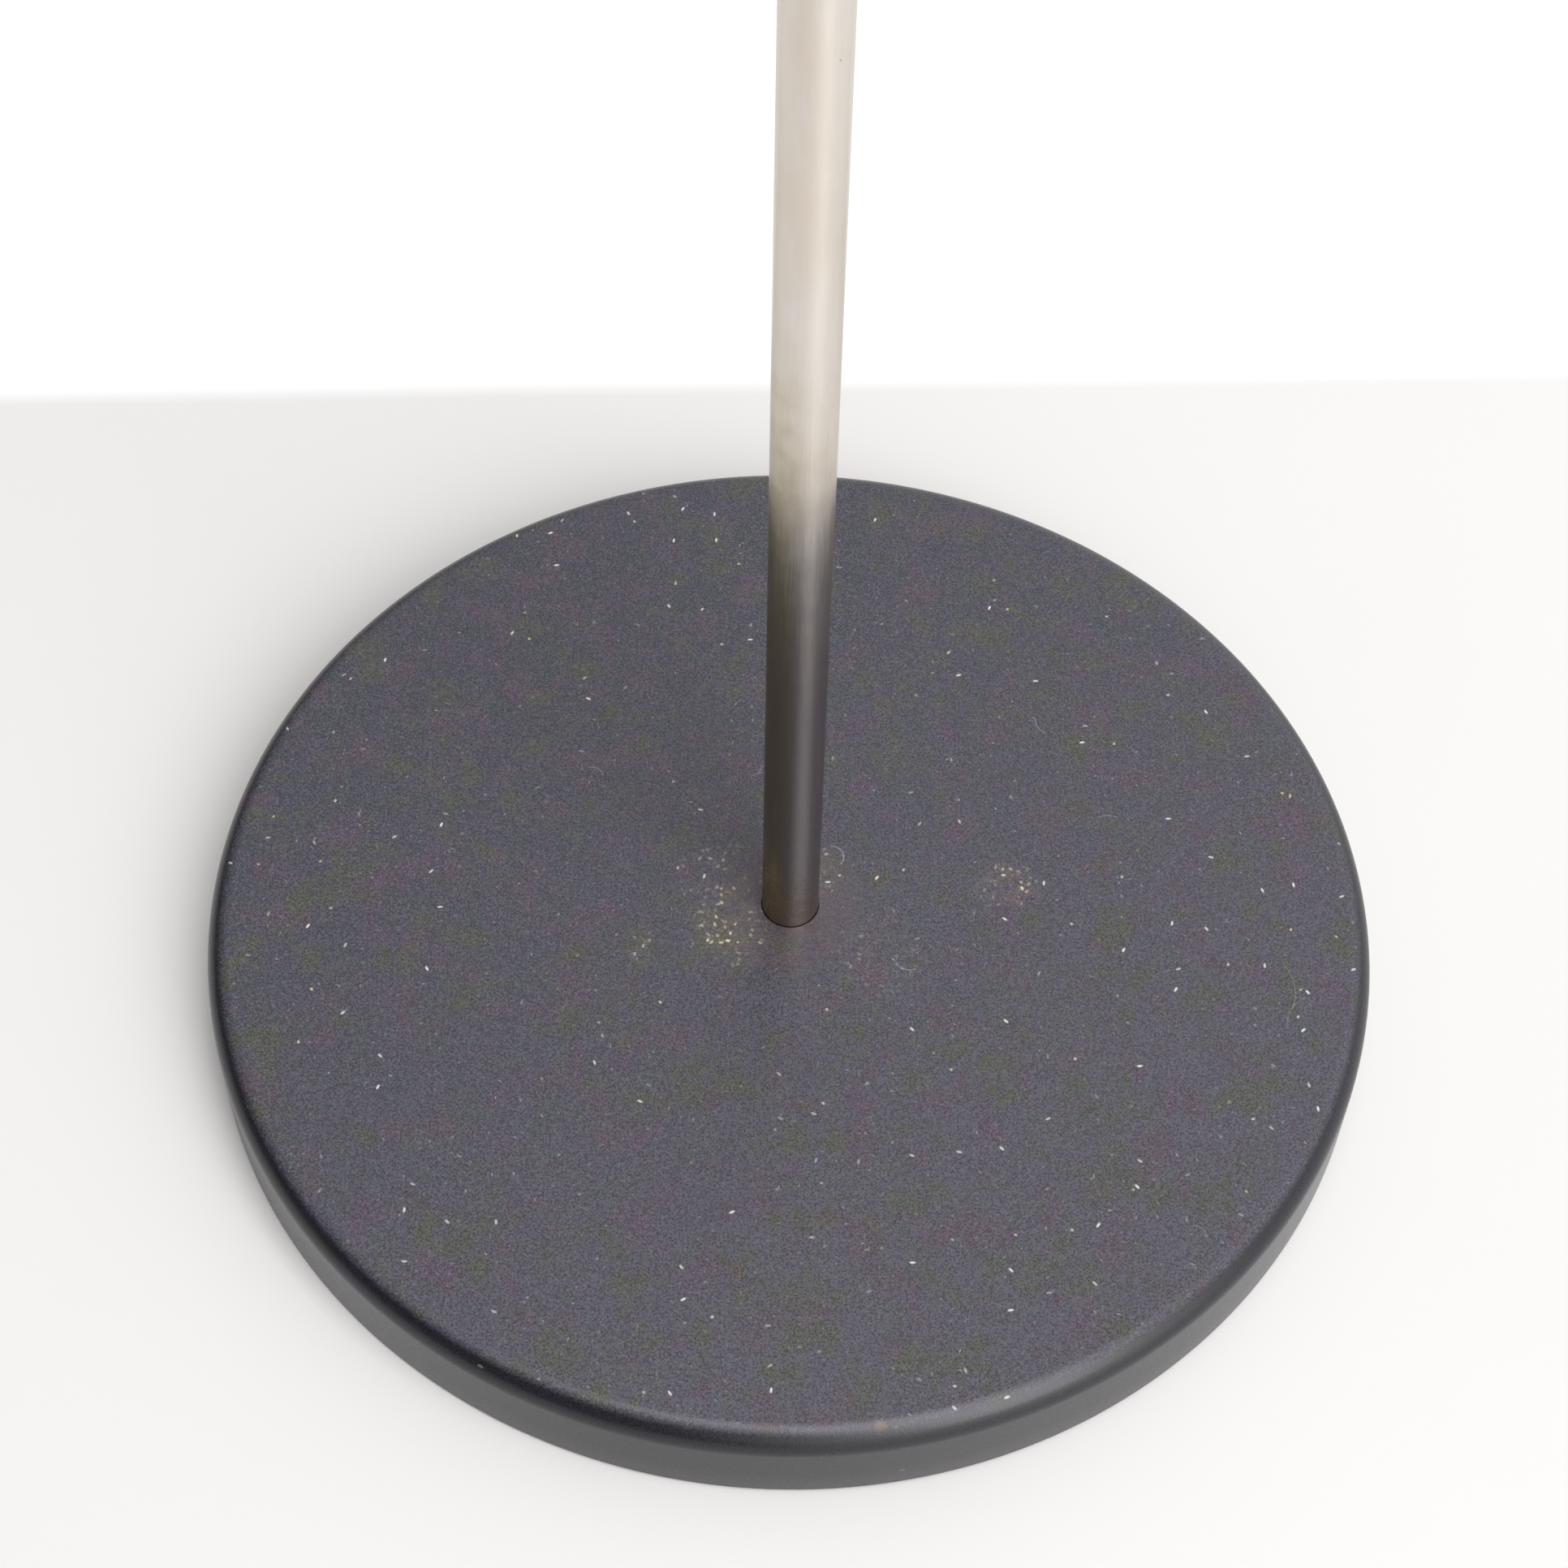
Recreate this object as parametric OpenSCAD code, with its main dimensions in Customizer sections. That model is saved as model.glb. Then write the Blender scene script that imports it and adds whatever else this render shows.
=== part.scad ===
// Tension pole lamp: a slim pole sprung between floor and ceiling, standing on a wide weighted
// disc, with three adjustable spotlight heads, a rotary switch and a telescopic sprung top.
// Millimetres, +Z up. The origin is on the floor, on the pole's axis.

/* [Base] */
// Outside diameter of the pressed steel shell
base_d = 390; // [320:5:450]
// Height of the shell's flat top above the floor
base_h = 33.5; // [29:0.5:45]
// Outside radius of the shell's upper corner
base_corner_r = 8; // [4:0.5:11]
// Sheet thickness of the shell
shell_t = 1.5; // [1:0.1:2.5]
// Height of the shell's lower edge above the floor
rim_lift = 1; // [0.6:0.1:1.4]
// Thickness of the felt pad that the lamp stands on
pad_t = 2; // [1.6:0.1:3]
// Space between the felt pad's edge and the shell's wall
pad_inset = 4; // [2:0.5:10]
// Space between the cast weight and the shell's wall
weight_gap = 1; // [0.5:0.1:3]
// Depth that the pole stands in the weight
pole_seat_depth = 6; // [4:0.5:8]

/* [Base fixing] */
// Outside diameter of the hollow threaded stud
stud_d = 10; // [8:0.5:11]
// Wire bore of the stud
stud_bore = 7; // [4:0.5:7]
// Length of the stud
stud_l = 41; // [37:1:48]
// Width across the flats of the stud's nut
nut_af = 17; // [15:0.5:20]
// Thickness of the stud's nut
nut_h = 6; // [4:0.5:7]
// Diameter of the washer on the nut
washer_d = 26; // [24:0.5:30]
// Thickness of the washer
washer_t = 1.5; // [1:0.1:2]
// Depth of the nut's pocket in the underside of the weight
nut_pocket_h = 12; // [11:0.5:14]
// Height of the threaded plug in the pole's foot
plug_h = 26; // [20:1:40]

/* [Cord inlet] */
// Height of the inlet's axis above the floor
inlet_z = 11; // [10.5:0.5:13]
// Bore of the inlet's grommet
inlet_bore = 7; // [5:0.5:8]
// Diameter of the hole in the shell
inlet_hole_d = 11; // [10:0.5:13]
// Diameter of the grommet's two flanges
inlet_flange_d = 16; // [15:0.5:17]

/* [Pole] */
// Outside diameter of the pole's tubes
tube_d = 19; // [18:0.5:22]
// Wall of the pole's tubes
tube_wall = 1; // [0.8:0.1:1.3]
// Length of one section of the pole
section_l = 690; // [680:1:720]
// Height of a coupler's visible ring
coupler_h = 12; // [8:1:20]
// Diameter of a coupler's visible ring
coupler_d = 21.2; // [20.6:0.1:24]
// Length of a coupler's spigot inside each tube
spigot_l = 28; // [15:1:40]
// Wire bore of the couplers
coupler_bore = 12; // [6:0.5:13]

/* [Spotlight heads] */
// Distance from the pole's top down to the highest head's mount
top_head_drop = 260; // [240:5:280]
// Height from one head's mount to the next
head_pitch = 350; // [330:5:360]
// Diameter of the boss that is brazed to the pole
boss_d = 18; // [16:0.5:18]
// Distance from the pole's axis to the boss's face
boss_reach = 26; // [23:0.5:28]
// Diameter of the hollow nipple that the head rolls on
nipple_d = 8; // [7:0.5:9]
// Wire bore of the nipple
nipple_bore = 5; // [3:0.5:5]
// Diameter of the fork's hub
hub_d = 20; // [18:0.5:21]
// Length of the fork's hub
hub_l = 7; // [5:0.5:9]
// Diameter of the round nut that holds the fork
nipple_nut_d = 12.4; // [11:0.2:13]
// Thickness of that nut
nipple_nut_h = 3.4; // [2.5:0.1:4]
// Distance from the hub's back face to the tilting pin
fork_l = 21.8; // [21:0.1:26]
// Thickness of each cheek of the fork
cheek_t = 2.8; // [2:0.1:4]
// Width of the gap between the cheeks
fork_gap = 13.6; // [13.4:0.1:16]
// Radius of the cheeks' round ends
cheek_r = 9; // [8:0.2:9.6]
// Radius of the round end of the socket cup's lug
lug_r = 8.4; // [7:0.2:8.6]
// Diameter of the tilting pin
pin_d = 5; // [4:0.5:6]
// Diameter of the pin's slotted head
pin_head_d = 9; // [8:0.5:12]
// Height of the pin's slotted head
pin_head_h = 2.6; // [2:0.1:4]
// Width across the flats of the pin's nut
pin_nut_af = 8; // [7.5:0.5:10]
// Thickness of the pin's nut
pin_nut_h = 4; // [3:0.5:6]

/* [Socket cup and shade] */
// Outside diameter of the socket cup
cup_d = 48; // [46:0.5:50]
// Sheet thickness of the socket cup
cup_t = 1.2; // [0.8:0.1:1.6]
// Distance from the tilting pin to the back of the cup
cup_back = 12; // [11.5:0.5:14]
// Distance from the tilting pin to the cup's open front
cup_front = 58; // [55:0.5:60]
// Radius of the cup's rounded back
cup_round = 13; // [8:0.5:15]
// Diameter of the shade's mouth over the sheet
mouth_d = 116; // [108:1:118]
// Distance from the tilting pin to the shade's mouth
mouth_x = 165; // [158:1:167]
// Diameter of the shade where it leaves the socket cup
neck_d = 54; // [51:0.5:58]
// Sheet thickness of the shade
shade_t = 1; // [0.8:0.1:1.4]
// Radius of the bead rolled round the mouth
bead_r = 1.7; // [1.5:0.1:2.5]
// Number of cooling slots round the shade's shoulder
vent_count = 10; // [6:1:14]
// Width of a cooling slot
vent_w = 4; // [3:0.5:5]
// Length of a cooling slot
vent_l = 15; // [10:1:18]
// Distance from the shade's back to the middle of the slots
vent_x = 20; // [16:0.5:26]

/* [Lamp holder and bulb] */
// Outside diameter of the lamp holder
holder_d = 38.6; // [37:0.2:40]
// Bore of the lamp holder
holder_bore = 27; // [26.8:0.1:29]
// Distance that the holder stands through the shade
holder_through = 14; // [11:0.5:16]
// Thickness of the ring that clamps the shade
ring_h = 6; // [4:0.5:8]
// Diameter of that ring
ring_d = 49; // [45:0.5:50]
// Diameter of the bulb's screw cap
cap_d = 26.2; // [25.6:0.1:26.4]
// Length of the bulb's screw cap
cap_l = 25; // [22:0.5:27]
// Diameter of the bulb's glass
bulb_d = 50; // [45:1:60]
// Length of the glass in front of its neck's start
bulb_l = 92; // [86:1:94]
// Thickness of the glass
glass_t = 0.8; // [0.5:0.1:1.2]

/* [Switch] */
// Height of the middle of the switch housing
switch_z = 880; // [830:1:910]
// Height of the switch housing
switch_h = 60; // [50:1:70]
// Width of the switch housing
switch_w = 32; // [31:0.5:36]
// Distance from the pole's axis to the centre of the housing's round front
switch_reach = 18; // [16:0.5:24]
// Radius of the housing's rounded edges
switch_edge = 4; // [2:0.5:5]
// Wall of the switch housing
switch_wall = 2; // [1.6:0.1:2.4]
// Diameter of the switch knob
knob_d = 24; // [20:0.5:28]
// Height of the switch knob
knob_h = 13; // [10:0.5:16]
// Number of grip flutes round the knob
knob_flutes = 14; // [8:1:18]

/* [Telescopic top] */
// Outside diameter of the sliding tube
slider_d = 14; // [13:0.1:14.6]
// Wall of the sliding tube
slider_wall = 1; // [0.8:0.1:1.2]
// Length of the sliding tube that shows at rest
slider_show = 170; // [150:1:200]
// Travel of the sliding tube up from rest
slide_up = 80; // [60:1:85]
// Length of the sliding tube that stays held at full height
slider_hold = 75; // [60:1:80]
// Length of the nylon bush in the mouth of the pole
bush_l = 30; // [26:1:45]
// Height of the clamping collar
collar_h = 30; // [26:1:36]
// Diameter of the clamping collar
collar_d = 29; // [27:0.5:34]
// Diameter of the clamping screw
clamp_d = 5; // [4:0.5:6]
// Diameter of the clamping screw's knurled head
clamp_head_d = 17; // [14:0.5:20]
// Thickness of that head
clamp_head_h = 8; // [6:0.5:10]

/* [Sprung ceiling plunger] */
// Diameter of the plunger rod
rod_d = 8; // [7:0.5:9]
// Travel of the plunger
press_travel = 45; // [30:1:50]
// Length of the spring at rest
spring_l = 110; // [100:1:130]
// Mean radius of the spring
spring_r = 7.2; // [6.6:0.1:8]
// Thickness of the spring wire
spring_wire = 2; // [1.6:0.1:2.2]
// Number of curls of the spring
spring_turns = 14; // [10:1:16]
// Length of the spring seat inside the sliding tube
seat_l = 20; // [12:1:30]
// Thickness of the spring seat's flange
seat_flange_h = 5; // [3:0.5:8]
// Diameter of the spring seat's flange
seat_flange_d = 22; // [20:0.5:26]
// Diameter of the ceiling cup
ceiling_d = 72; // [60:1:90]
// Height of the ceiling cup
ceiling_h = 22; // [18:1:30]
// Sheet thickness of the ceiling cup
ceiling_t = 1.5; // [1:0.1:2]
// Thickness of the rubber pad
ceiling_pad_t = 14; // [10:0.5:18]
// Distance that the rubber pad stands out of the cup
ceiling_pad_out = 8; // [4:0.5:10]

/* [Hidden] */

$fn = 64;
eps = 0.01;           // depth that a cutter reaches past a face
fit = 0.05;           // radial clearance of a running fit
slip = 0.1;           // radial clearance of a hole that a piece passes through
rest_gap = 0.2;       // space left where a moving piece bears on another
far = 100;            // length of a cutter that only has to reach clear of its piece

// Base stack, from the floor up
base_r = base_d / 2;
wall_r = base_r - shell_t;                    // inside of the shell's wall
weight_top = base_h - shell_t;                // underside of the shell's top
tube_r = tube_d / 2;
tube_in = tube_r - tube_wall;
pole_z = weight_top - pole_seat_depth;        // lower end of the pole
pocket_top = pad_t + nut_pocket_h;            // ceiling of the nut's pocket
stud_below_nut = 2;                           // thread that shows under the nut
stud_top = pocket_top - washer_t - nut_h - stud_below_nut + stud_l;

// Pole stack
lower_top = pole_z + section_l;
middle_z = lower_top + coupler_h;
middle_top = middle_z + section_l;
upper_z = middle_top + coupler_h;
pole_top = upper_z + section_l;

// Heads: right and reading down, left and washing the wall, front and lighting the ceiling
head_turn = [0, 180, 270];
head_tilt = [-40, -20, 35];
pivot_r = boss_reach + rest_gap + fork_l;     // pole's axis to tilting pin
hub_x = boss_reach + rest_gap;                // back face of the hub
nipple_past_nut = 1.2;                        // thread that shows in front of the nut
nipple_end = hub_x + hub_l + rest_gap + nipple_nut_h + nipple_past_nut;
fork_w = fork_gap + 2 * cheek_t;              // width over the cheeks
lug_w = fork_gap - 2 * rest_gap;

// Inside a head, along its own axis from the tilting pin
cup_r = cup_d / 2;
shade_back = cup_front;
holder_front = shade_back + shade_t + holder_through;
holder_stem_l = 8;                            // stem between the cup and the holder's body
holder_back = cup_back + cup_t + holder_stem_l;
cap_sunk = 1;                                 // depth of the cap's rim in the holder
cap_back = holder_front - cap_l - cap_sunk;
holder_floor = cap_back - rest_gap;
neck_r = neck_d / 2;
mouth_r = mouth_d / 2;
cap_shell_t = 0.5;                            // sheet of the bulb's cap
cap_solid_l = 9;                              // solid back of the bulb's cap
bulb_neck_r = cap_d / 2 - cap_shell_t - slip;
bulb_r = bulb_d / 2;
bulb_start = cap_back + cap_solid_l + 3;      // where the glass begins in its cap
bulb_centre = bulb_start + bulb_l - bulb_r;
glass_leave = 135;                            // angle where the shoulder meets the ball
shoulder_steps = 8;
ball_steps = 12;
shade_steps = 20;
shade_start = asin(neck_r / mouth_r);         // angle on the ellipse where the shade begins
shade_depth = (mouth_x - shade_back) / cos(shade_start);

// Switch, its front facing -Y
switch_face = switch_reach + switch_w / 2;    // pole's axis to the housing's front
flat_face = switch_face - 2.5;                // flat cut where the knob sits
wire_hole_d = 7;                              // hole in the pole behind the switch
wire_hole_drop = 16;                          // its distance below the switch's middle
unit_neck_d = 9;                              // threaded neck of the switch's body
unit_w = 20;
unit_h = 26;
switch_nut_r = 7;
switch_nut_h = 2.4;
stem_r = 2.6;                                 // radius of the knob's stem
stem_depth = 6;                               // depth of its hole behind the flat face
knob_gap = 0.4;                               // space between the knob and the flat face

// Telescopic top
slider_r = slider_d / 2;
slider_in = slider_r - slider_wall;
slider_z = pole_top - slider_hold - slide_up;
slider_top = pole_top + slider_show;
collar_lip = 6;                               // height of the collar above the pole
collar_z = pole_top + collar_lip - collar_h;
bush_flange_h = 2;
clamp_z = collar_z + collar_h * 0.45;
clamp_boss_x = collar_d / 2 + 4;              // outer end of the screw's boss
seat_top = slider_top + seat_flange_h;
rod_r = rod_d / 2;
cup_z = seat_top + spring_l;                  // underside of the ceiling cup's boss
cup_boss_h = 8;
rod_seat_h = cup_boss_h - 1;                  // depth that the rod stands in the boss
ceiling_top = cup_z + cup_boss_h + ceiling_h + ceiling_pad_out;

// Spring wire: a helix whose pitch closes up towards both ends, where the wire turns
// down onto its seat and runs straight for one thickness
spring_bend = spring_wire;
spring_lead = spring_bend + spring_wire;
spring_close = 0.5;                           // share of the pitch lost at the ends
rings_per_turn = 8;
wire_sides = 6;
spring_steps = spring_turns * rings_per_turn;
bend_steps = 3;
function spring_rise(t) = t - spring_close * sin(360 * t) / (2 * PI);
function spring_angle(t) = 360 * spring_turns * t;
function around(a) = [cos(a), sin(a), 0];
function along(a) = [-sin(a), cos(a), 0];
up = [0, 0, 1];
function helix_point(t) =
  spring_r * around(spring_angle(t))
  + (seat_top + spring_lead + (spring_l - 2 * spring_lead) * spring_rise(t)) * up;
// One end of the wire, walked away from the helix; side is -1 at the bottom and 1 at the top
function end_point(t, side, turn) =
  helix_point(t) + spring_bend * side * (sin(turn) * along(spring_angle(t))
                                         + (1 - cos(turn)) * up);
spring_path = concat(
  [end_point(0, -1, 90) - spring_wire * up],
  [for (k = [bend_steps : -1 : 1]) end_point(0, -1, 90 * k / bend_steps)],
  [for (k = [0 : spring_steps]) helix_point(k / spring_steps)],
  [for (k = [1 : bend_steps]) end_point(1, 1, 90 * k / bend_steps)],
  [end_point(1, 1, 90) + spring_wire * up]);
spring_out = concat(
  [for (k = [0 : bend_steps]) around(0)],
  [for (k = [0 : spring_steps]) around(spring_angle(k / spring_steps))],
  [for (k = [0 : bend_steps]) around(spring_angle(1))]);
spring_gap = min([for (i = [0 : len(spring_path) - 1],
                       j = [i + rings_per_turn - 2 : len(spring_path) - 1])
                  norm(spring_path[i] - spring_path[j])]) - spring_wire;
echo(least_gap_between_spring_curls = spring_gap);

function unit(v) = v / norm(v);
function tangent(path, i) =
  unit(path[min(i + 1, len(path) - 1)] - path[max(i - 1, 0)]);

// A round wire swept along a path; out holds a direction square to the path at each point
module wire(path, out, thickness, sides) {
  last = len(path) - 1;
  points = [for (i = [0 : last], k = [0 : sides - 1])
    let (a = 360 * k / sides, t = i == 0 || i == last ? up : tangent(path, i))
    path[i] + thickness / 2 * (cos(a) * out[i] + sin(a) * unit(cross(t, out[i])))];
  skin = [for (i = [0 : last - 1], k = [0 : sides - 1])
    let (a = i * sides + k, b = i * sides + (k + 1) % sides)
    each [[a, a + sides, b + sides], [a, b + sides, b]]];
  ends = [for (k = [1 : sides - 2])
    each [[0, k, k + 1], [last * sides, last * sides + k + 1, last * sides + k]]];
  polyhedron(points = points, faces = concat(skin, ends), convexity = 10);
}

module tube(r_out, r_in, h) {
  difference() {
    cylinder(r = r_out, h = h);
    translate([0, 0, -eps]) cylinder(r = r_in, h = h + 2 * eps);
  }
}

// A cylinder with both rims rounded
module soft_cylinder(r, h, edge) {
  rotate_extrude()
    soft_half(r, h, edge);
}

// Half outline of that cylinder: the rounded side, cut at the axis
module soft_half(r, h, edge) {
  square([r - edge, h]);
  translate([0, edge]) square([r, h - 2 * edge]);
  for (z = [edge, h - edge]) translate([r - edge, z]) circle(r = edge);
}

// Lays a piece that was drawn along +Z along +X
module along_x() {
  rotate([0, 90, 0]) children();
}

// Places a piece drawn along +X from the pole's axis at the mount of head i
module at_mount(i) {
  translate([0, 0, pole_top - top_head_drop - (len(head_turn) - i) * head_pitch])
    rotate([0, 0, head_turn[i - 1]])
      children();
}

// Places a piece drawn along +X from the tilting pin, at the head's resting tilt
module at_head(i) {
  at_mount(i)
    translate([pivot_r, 0, 0])
      rotate([0, -head_tilt[i - 1], 0])
        children();
}

// ---- Base ----

// Half section of the shell: flat top, rounded corner, straight wall
module shell_section(inset) {
  r = base_r - inset;
  corner = base_corner_r - inset;
  top = base_h - inset;
  translate([0, rim_lift]) square([r, top - corner - rim_lift]);
  translate([0, rim_lift]) square([r - corner, top - rim_lift]);
  translate([r - corner, top - corner]) circle(r = corner);
}

module base_shell() {
  overlap = 2;
  color("#5b5961") difference() {
    rotate_extrude($fn = 128) difference() {
      shell_section(0);
      shell_section(shell_t);
      translate([0, -eps]) square([wall_r, rim_lift + 2 * eps]);
    }
    cylinder(r = tube_r + slip, h = base_h + 1);
    translate([0, wall_r - overlap, inlet_z]) rotate([-90, 0, 0])
      cylinder(d = inlet_hole_d, h = shell_t + 2 * overlap);
  }
}

// Cast concrete, with a seat for the pole, a pocket for the nut and a channel for the cord
module base_weight() {
  weight_r = wall_r - weight_gap;
  round_r = base_corner_r - shell_t;
  pocket_d = washer_d + 4;
  slot_top = pocket_top - 2;
  slot_end = weight_r - 8;
  channel_l = 12;
  channel_w = inlet_flange_d + 3;
  channel_top = inlet_z + inlet_flange_d / 2 + 1;
  color("#8f8d86") difference() {
    rotate_extrude($fn = 128) {
      translate([0, pad_t]) square([weight_r, weight_top - round_r - pad_t]);
      translate([0, pad_t]) square([weight_r - round_r, weight_top - pad_t]);
      translate([weight_r - round_r, weight_top - round_r]) circle(r = round_r);
    }
    translate([0, 0, pole_z]) cylinder(r = tube_r + slip, h = pole_seat_depth + 1);
    cylinder(d = stud_d + 2 * slip, h = base_h);
    translate([0, 0, -eps]) cylinder(d = pocket_d, h = pocket_top + eps);
    translate([-stud_bore / 2, 0, -eps]) cube([stud_bore, slot_end, slot_top]);
    translate([-channel_w / 2, weight_r - channel_l, -eps])
      cube([channel_w, channel_l + 1, channel_top]);
  }
}

module felt_pad() {
  color("#2b2b2d") cylinder(r = wall_r - pad_inset, h = pad_t, $fn = 128);
}

module base_stud() {
  color("#b9bbbe") translate([0, 0, stud_top - stud_l])
    tube(stud_d / 2, stud_bore / 2, stud_l);
}

module base_nut() {
  color("#a8abae") translate([0, 0, pocket_top - washer_t - nut_h]) difference() {
    cylinder(d = nut_af / cos(30), h = nut_h, $fn = 6);
    translate([0, 0, -eps]) cylinder(d = stud_d, h = nut_h + 2 * eps);
  }
}

module base_washer() {
  color("#b2b4b6") translate([0, 0, pocket_top - washer_t])
    tube(washer_d / 2, stud_d / 2 + slip, washer_t);
}

// Flanged bush in the rear of the shell, where the cord goes in
module cord_grommet() {
  flange_t = 2;
  tail = 3;
  sag = base_r - sqrt(pow(base_r, 2) - pow(inlet_flange_d / 2, 2));
  inner_face = wall_r - sag - slip;
  color("#1c1c1e") translate([0, 0, inlet_z]) rotate([-90, 0, 0]) difference() {
    union() {
      translate([0, 0, base_r]) soft_cylinder(inlet_flange_d / 2, flange_t, 0.6);
      translate([0, 0, inner_face - tail])
        cylinder(d = inlet_hole_d - 2 * slip,
                 h = tail + base_r + flange_t / 2 - inner_face);
      translate([0, 0, inner_face - flange_t]) cylinder(d = inlet_flange_d, h = flange_t);
    }
    translate([0, 0, inner_face - tail - 1]) cylinder(d = inlet_bore, h = base_r);
  }
}

module foot_plug() {
  color("#a8abae") translate([0, 0, pole_z]) tube(tube_in, stud_d / 2, plug_h);
}

// ---- Pole ----

module pole_tube(z) {
  translate([0, 0, z]) tube(tube_r, tube_in, section_l);
}

// Hole in a tube's wall for the nipple of head i
module nipple_hole(i) {
  at_mount(i) along_x() cylinder(d = nipple_d + 2 * slip, h = tube_d);
}

module lower_tube() {
  color("#b9b6b0") pole_tube(pole_z);
}

// Carries the switch, whose wires come out through a hole, and the lowest head
module middle_tube() {
  color("#b9b6b0") difference() {
    pole_tube(middle_z);
    nipple_hole(1);
    translate([0, 0, switch_z - wire_hole_drop]) rotate([90, 0, 0])
      cylinder(d = wire_hole_d, h = tube_d);
  }
}

// Carries the upper heads, and the clamping screw passes through its top
module upper_tube() {
  color("#b9b6b0") difference() {
    pole_tube(upper_z);
    nipple_hole(2);
    nipple_hole(3);
    translate([0, 0, clamp_z]) along_x() cylinder(d = clamp_d + 2 * slip, h = tube_d);
  }
}

// Ring between two tubes, with a spigot into each and a groove round its middle
module coupler(z) {
  groove = 0.8;
  edge = 0.7;
  color("#c3c0ba") translate([0, 0, z]) difference() {
    union() {
      soft_cylinder(coupler_d / 2, coupler_h, edge);
      translate([0, 0, -spigot_l]) cylinder(r = tube_in, h = coupler_h + 2 * spigot_l);
    }
    translate([0, 0, -spigot_l - 1])
      cylinder(d = coupler_bore, h = coupler_h + 2 * spigot_l + 2);
    rotate_extrude() translate([coupler_d / 2, coupler_h / 2]) circle(r = groove / 2, $fn = 16);
  }
}

module lower_coupler() { coupler(lower_top); }
module upper_coupler() { coupler(middle_top); }

// ---- Heads ----

// Boss brazed to the pole, saddled to it, with the hollow nipple that the fork rolls on
module head_boss(i) {
  edge = 1;
  tail = 1;
  color("#b9b6b0") at_mount(i) difference() {
    union() {
      difference() {
        along_x() soft_cylinder(boss_d / 2, boss_reach, edge);
        cylinder(r = tube_r, h = 3 * boss_d, center = true);
      }
      translate([tube_in - tail, 0, 0]) along_x()
        cylinder(d = nipple_d, h = nipple_end - tube_in + tail);
    }
    along_x() cylinder(d = nipple_bore, h = nipple_end + 1);
  }
}

// Round nuts that hold the forks on their nipples, each with two spanner slots
module nipple_nuts() {
  slot_w = 1.6;
  slot_depth = 1;
  color("#b98a3a") for (i = [1 : 3]) at_mount(i)
    translate([hub_x + hub_l + rest_gap, 0, 0]) difference() {
      along_x() tube(nipple_nut_d / 2, nipple_d / 2, nipple_nut_h);
      translate([nipple_nut_h - slot_depth, -nipple_nut_d, -slot_w / 2])
        cube([2 * slot_depth, 2 * nipple_nut_d, slot_w]);
    }
}

// Hub that turns on the nipple, and two cheeks that hold the tilting pin
module fork(i) {
  edge = 1;
  root = 2;
  shoulder_r = fork_w * 0.64;
  color("#b9b6b0") at_mount(i) difference() {
    union() {
      translate([hub_x, 0, 0]) along_x() soft_cylinder(hub_d / 2, hub_l, edge);
      intersection() {
        translate([hub_x + root, -fork_w / 2, -cheek_r])
          cube([fork_l - root, fork_w, 2 * cheek_r]);
        translate([hub_x, 0, 0]) along_x() cylinder(r = shoulder_r, h = fork_l + 1);
      }
      translate([pivot_r, 0, 0]) rotate([90, 0, 0])
        cylinder(r = cheek_r, h = fork_w, center = true);
    }
    translate([hub_x + hub_l, -fork_gap / 2, -hub_d])
      cube([fork_l + cheek_r, fork_gap, 2 * hub_d]);
    along_x() cylinder(r = nipple_d / 2 + fit, h = pivot_r);
    translate([pivot_r, 0, 0]) rotate([90, 0, 0])
      cylinder(r = pin_d / 2 + fit, h = 2 * fork_w, center = true);
  }
}

// Slotted pin across the fork, with its thread standing 1 mm out of the nut
module pin(i) {
  past_nut = 1;
  edge = 0.6;
  slot = 1.2;
  color("#a8abae") at_mount(i) translate([pivot_r, -fork_w / 2, 0]) rotate([-90, 0, 0])
    difference() {
      union() {
        cylinder(d = pin_d, h = fork_w + pin_nut_h + past_nut);
        translate([0, 0, -pin_head_h]) soft_cylinder(pin_head_d / 2, pin_head_h, edge);
      }
      translate([-pin_head_d, -slot / 2, -pin_head_h - eps])
        cube([2 * pin_head_d, slot, slot]);
    }
}

module pin_nut(i) {
  color("#a8abae") at_mount(i)
    translate([pivot_r, fork_w / 2, 0]) rotate([-90, 0, 0]) difference() {
      cylinder(d = pin_nut_af / cos(30), h = pin_nut_h, $fn = 6);
      translate([0, 0, -eps]) cylinder(d = pin_d, h = pin_nut_h + 2 * eps);
    }
}

// Half section of the socket cup's outside, rounded at the back
module cup_section(inset) {
  r = cup_r - inset;
  round_r = cup_round - inset;
  back = cup_back + inset;
  translate([0, back]) square([r - round_r, cup_front - back]);
  translate([0, back + round_r]) square([r, cup_front - back - round_r]);
  intersection() {
    translate([r - round_r, back + round_r]) circle(r = round_r);
    translate([0, back]) square([r, cup_front - back]);
  }
}

// Spun cup, closed at the back by the lug that tilts on the pin
module socket_cup(i) {
  color("#26262a") at_head(i) difference() {
    union() {
      along_x() rotate_extrude() difference() {
        cup_section(0);
        cup_section(cup_t);
        translate([0, cup_front - eps]) square([cup_r - cup_t, 1]);
      }
      rotate([90, 0, 0]) cylinder(r = lug_r, h = lug_w, center = true);
      translate([0, -lug_w / 2, -lug_r]) cube([cup_back + cup_t, lug_w, 2 * lug_r]);
    }
    rotate([90, 0, 0]) cylinder(r = pin_d / 2 + fit, h = fork_gap + 1, center = true);
  }
}

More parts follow.
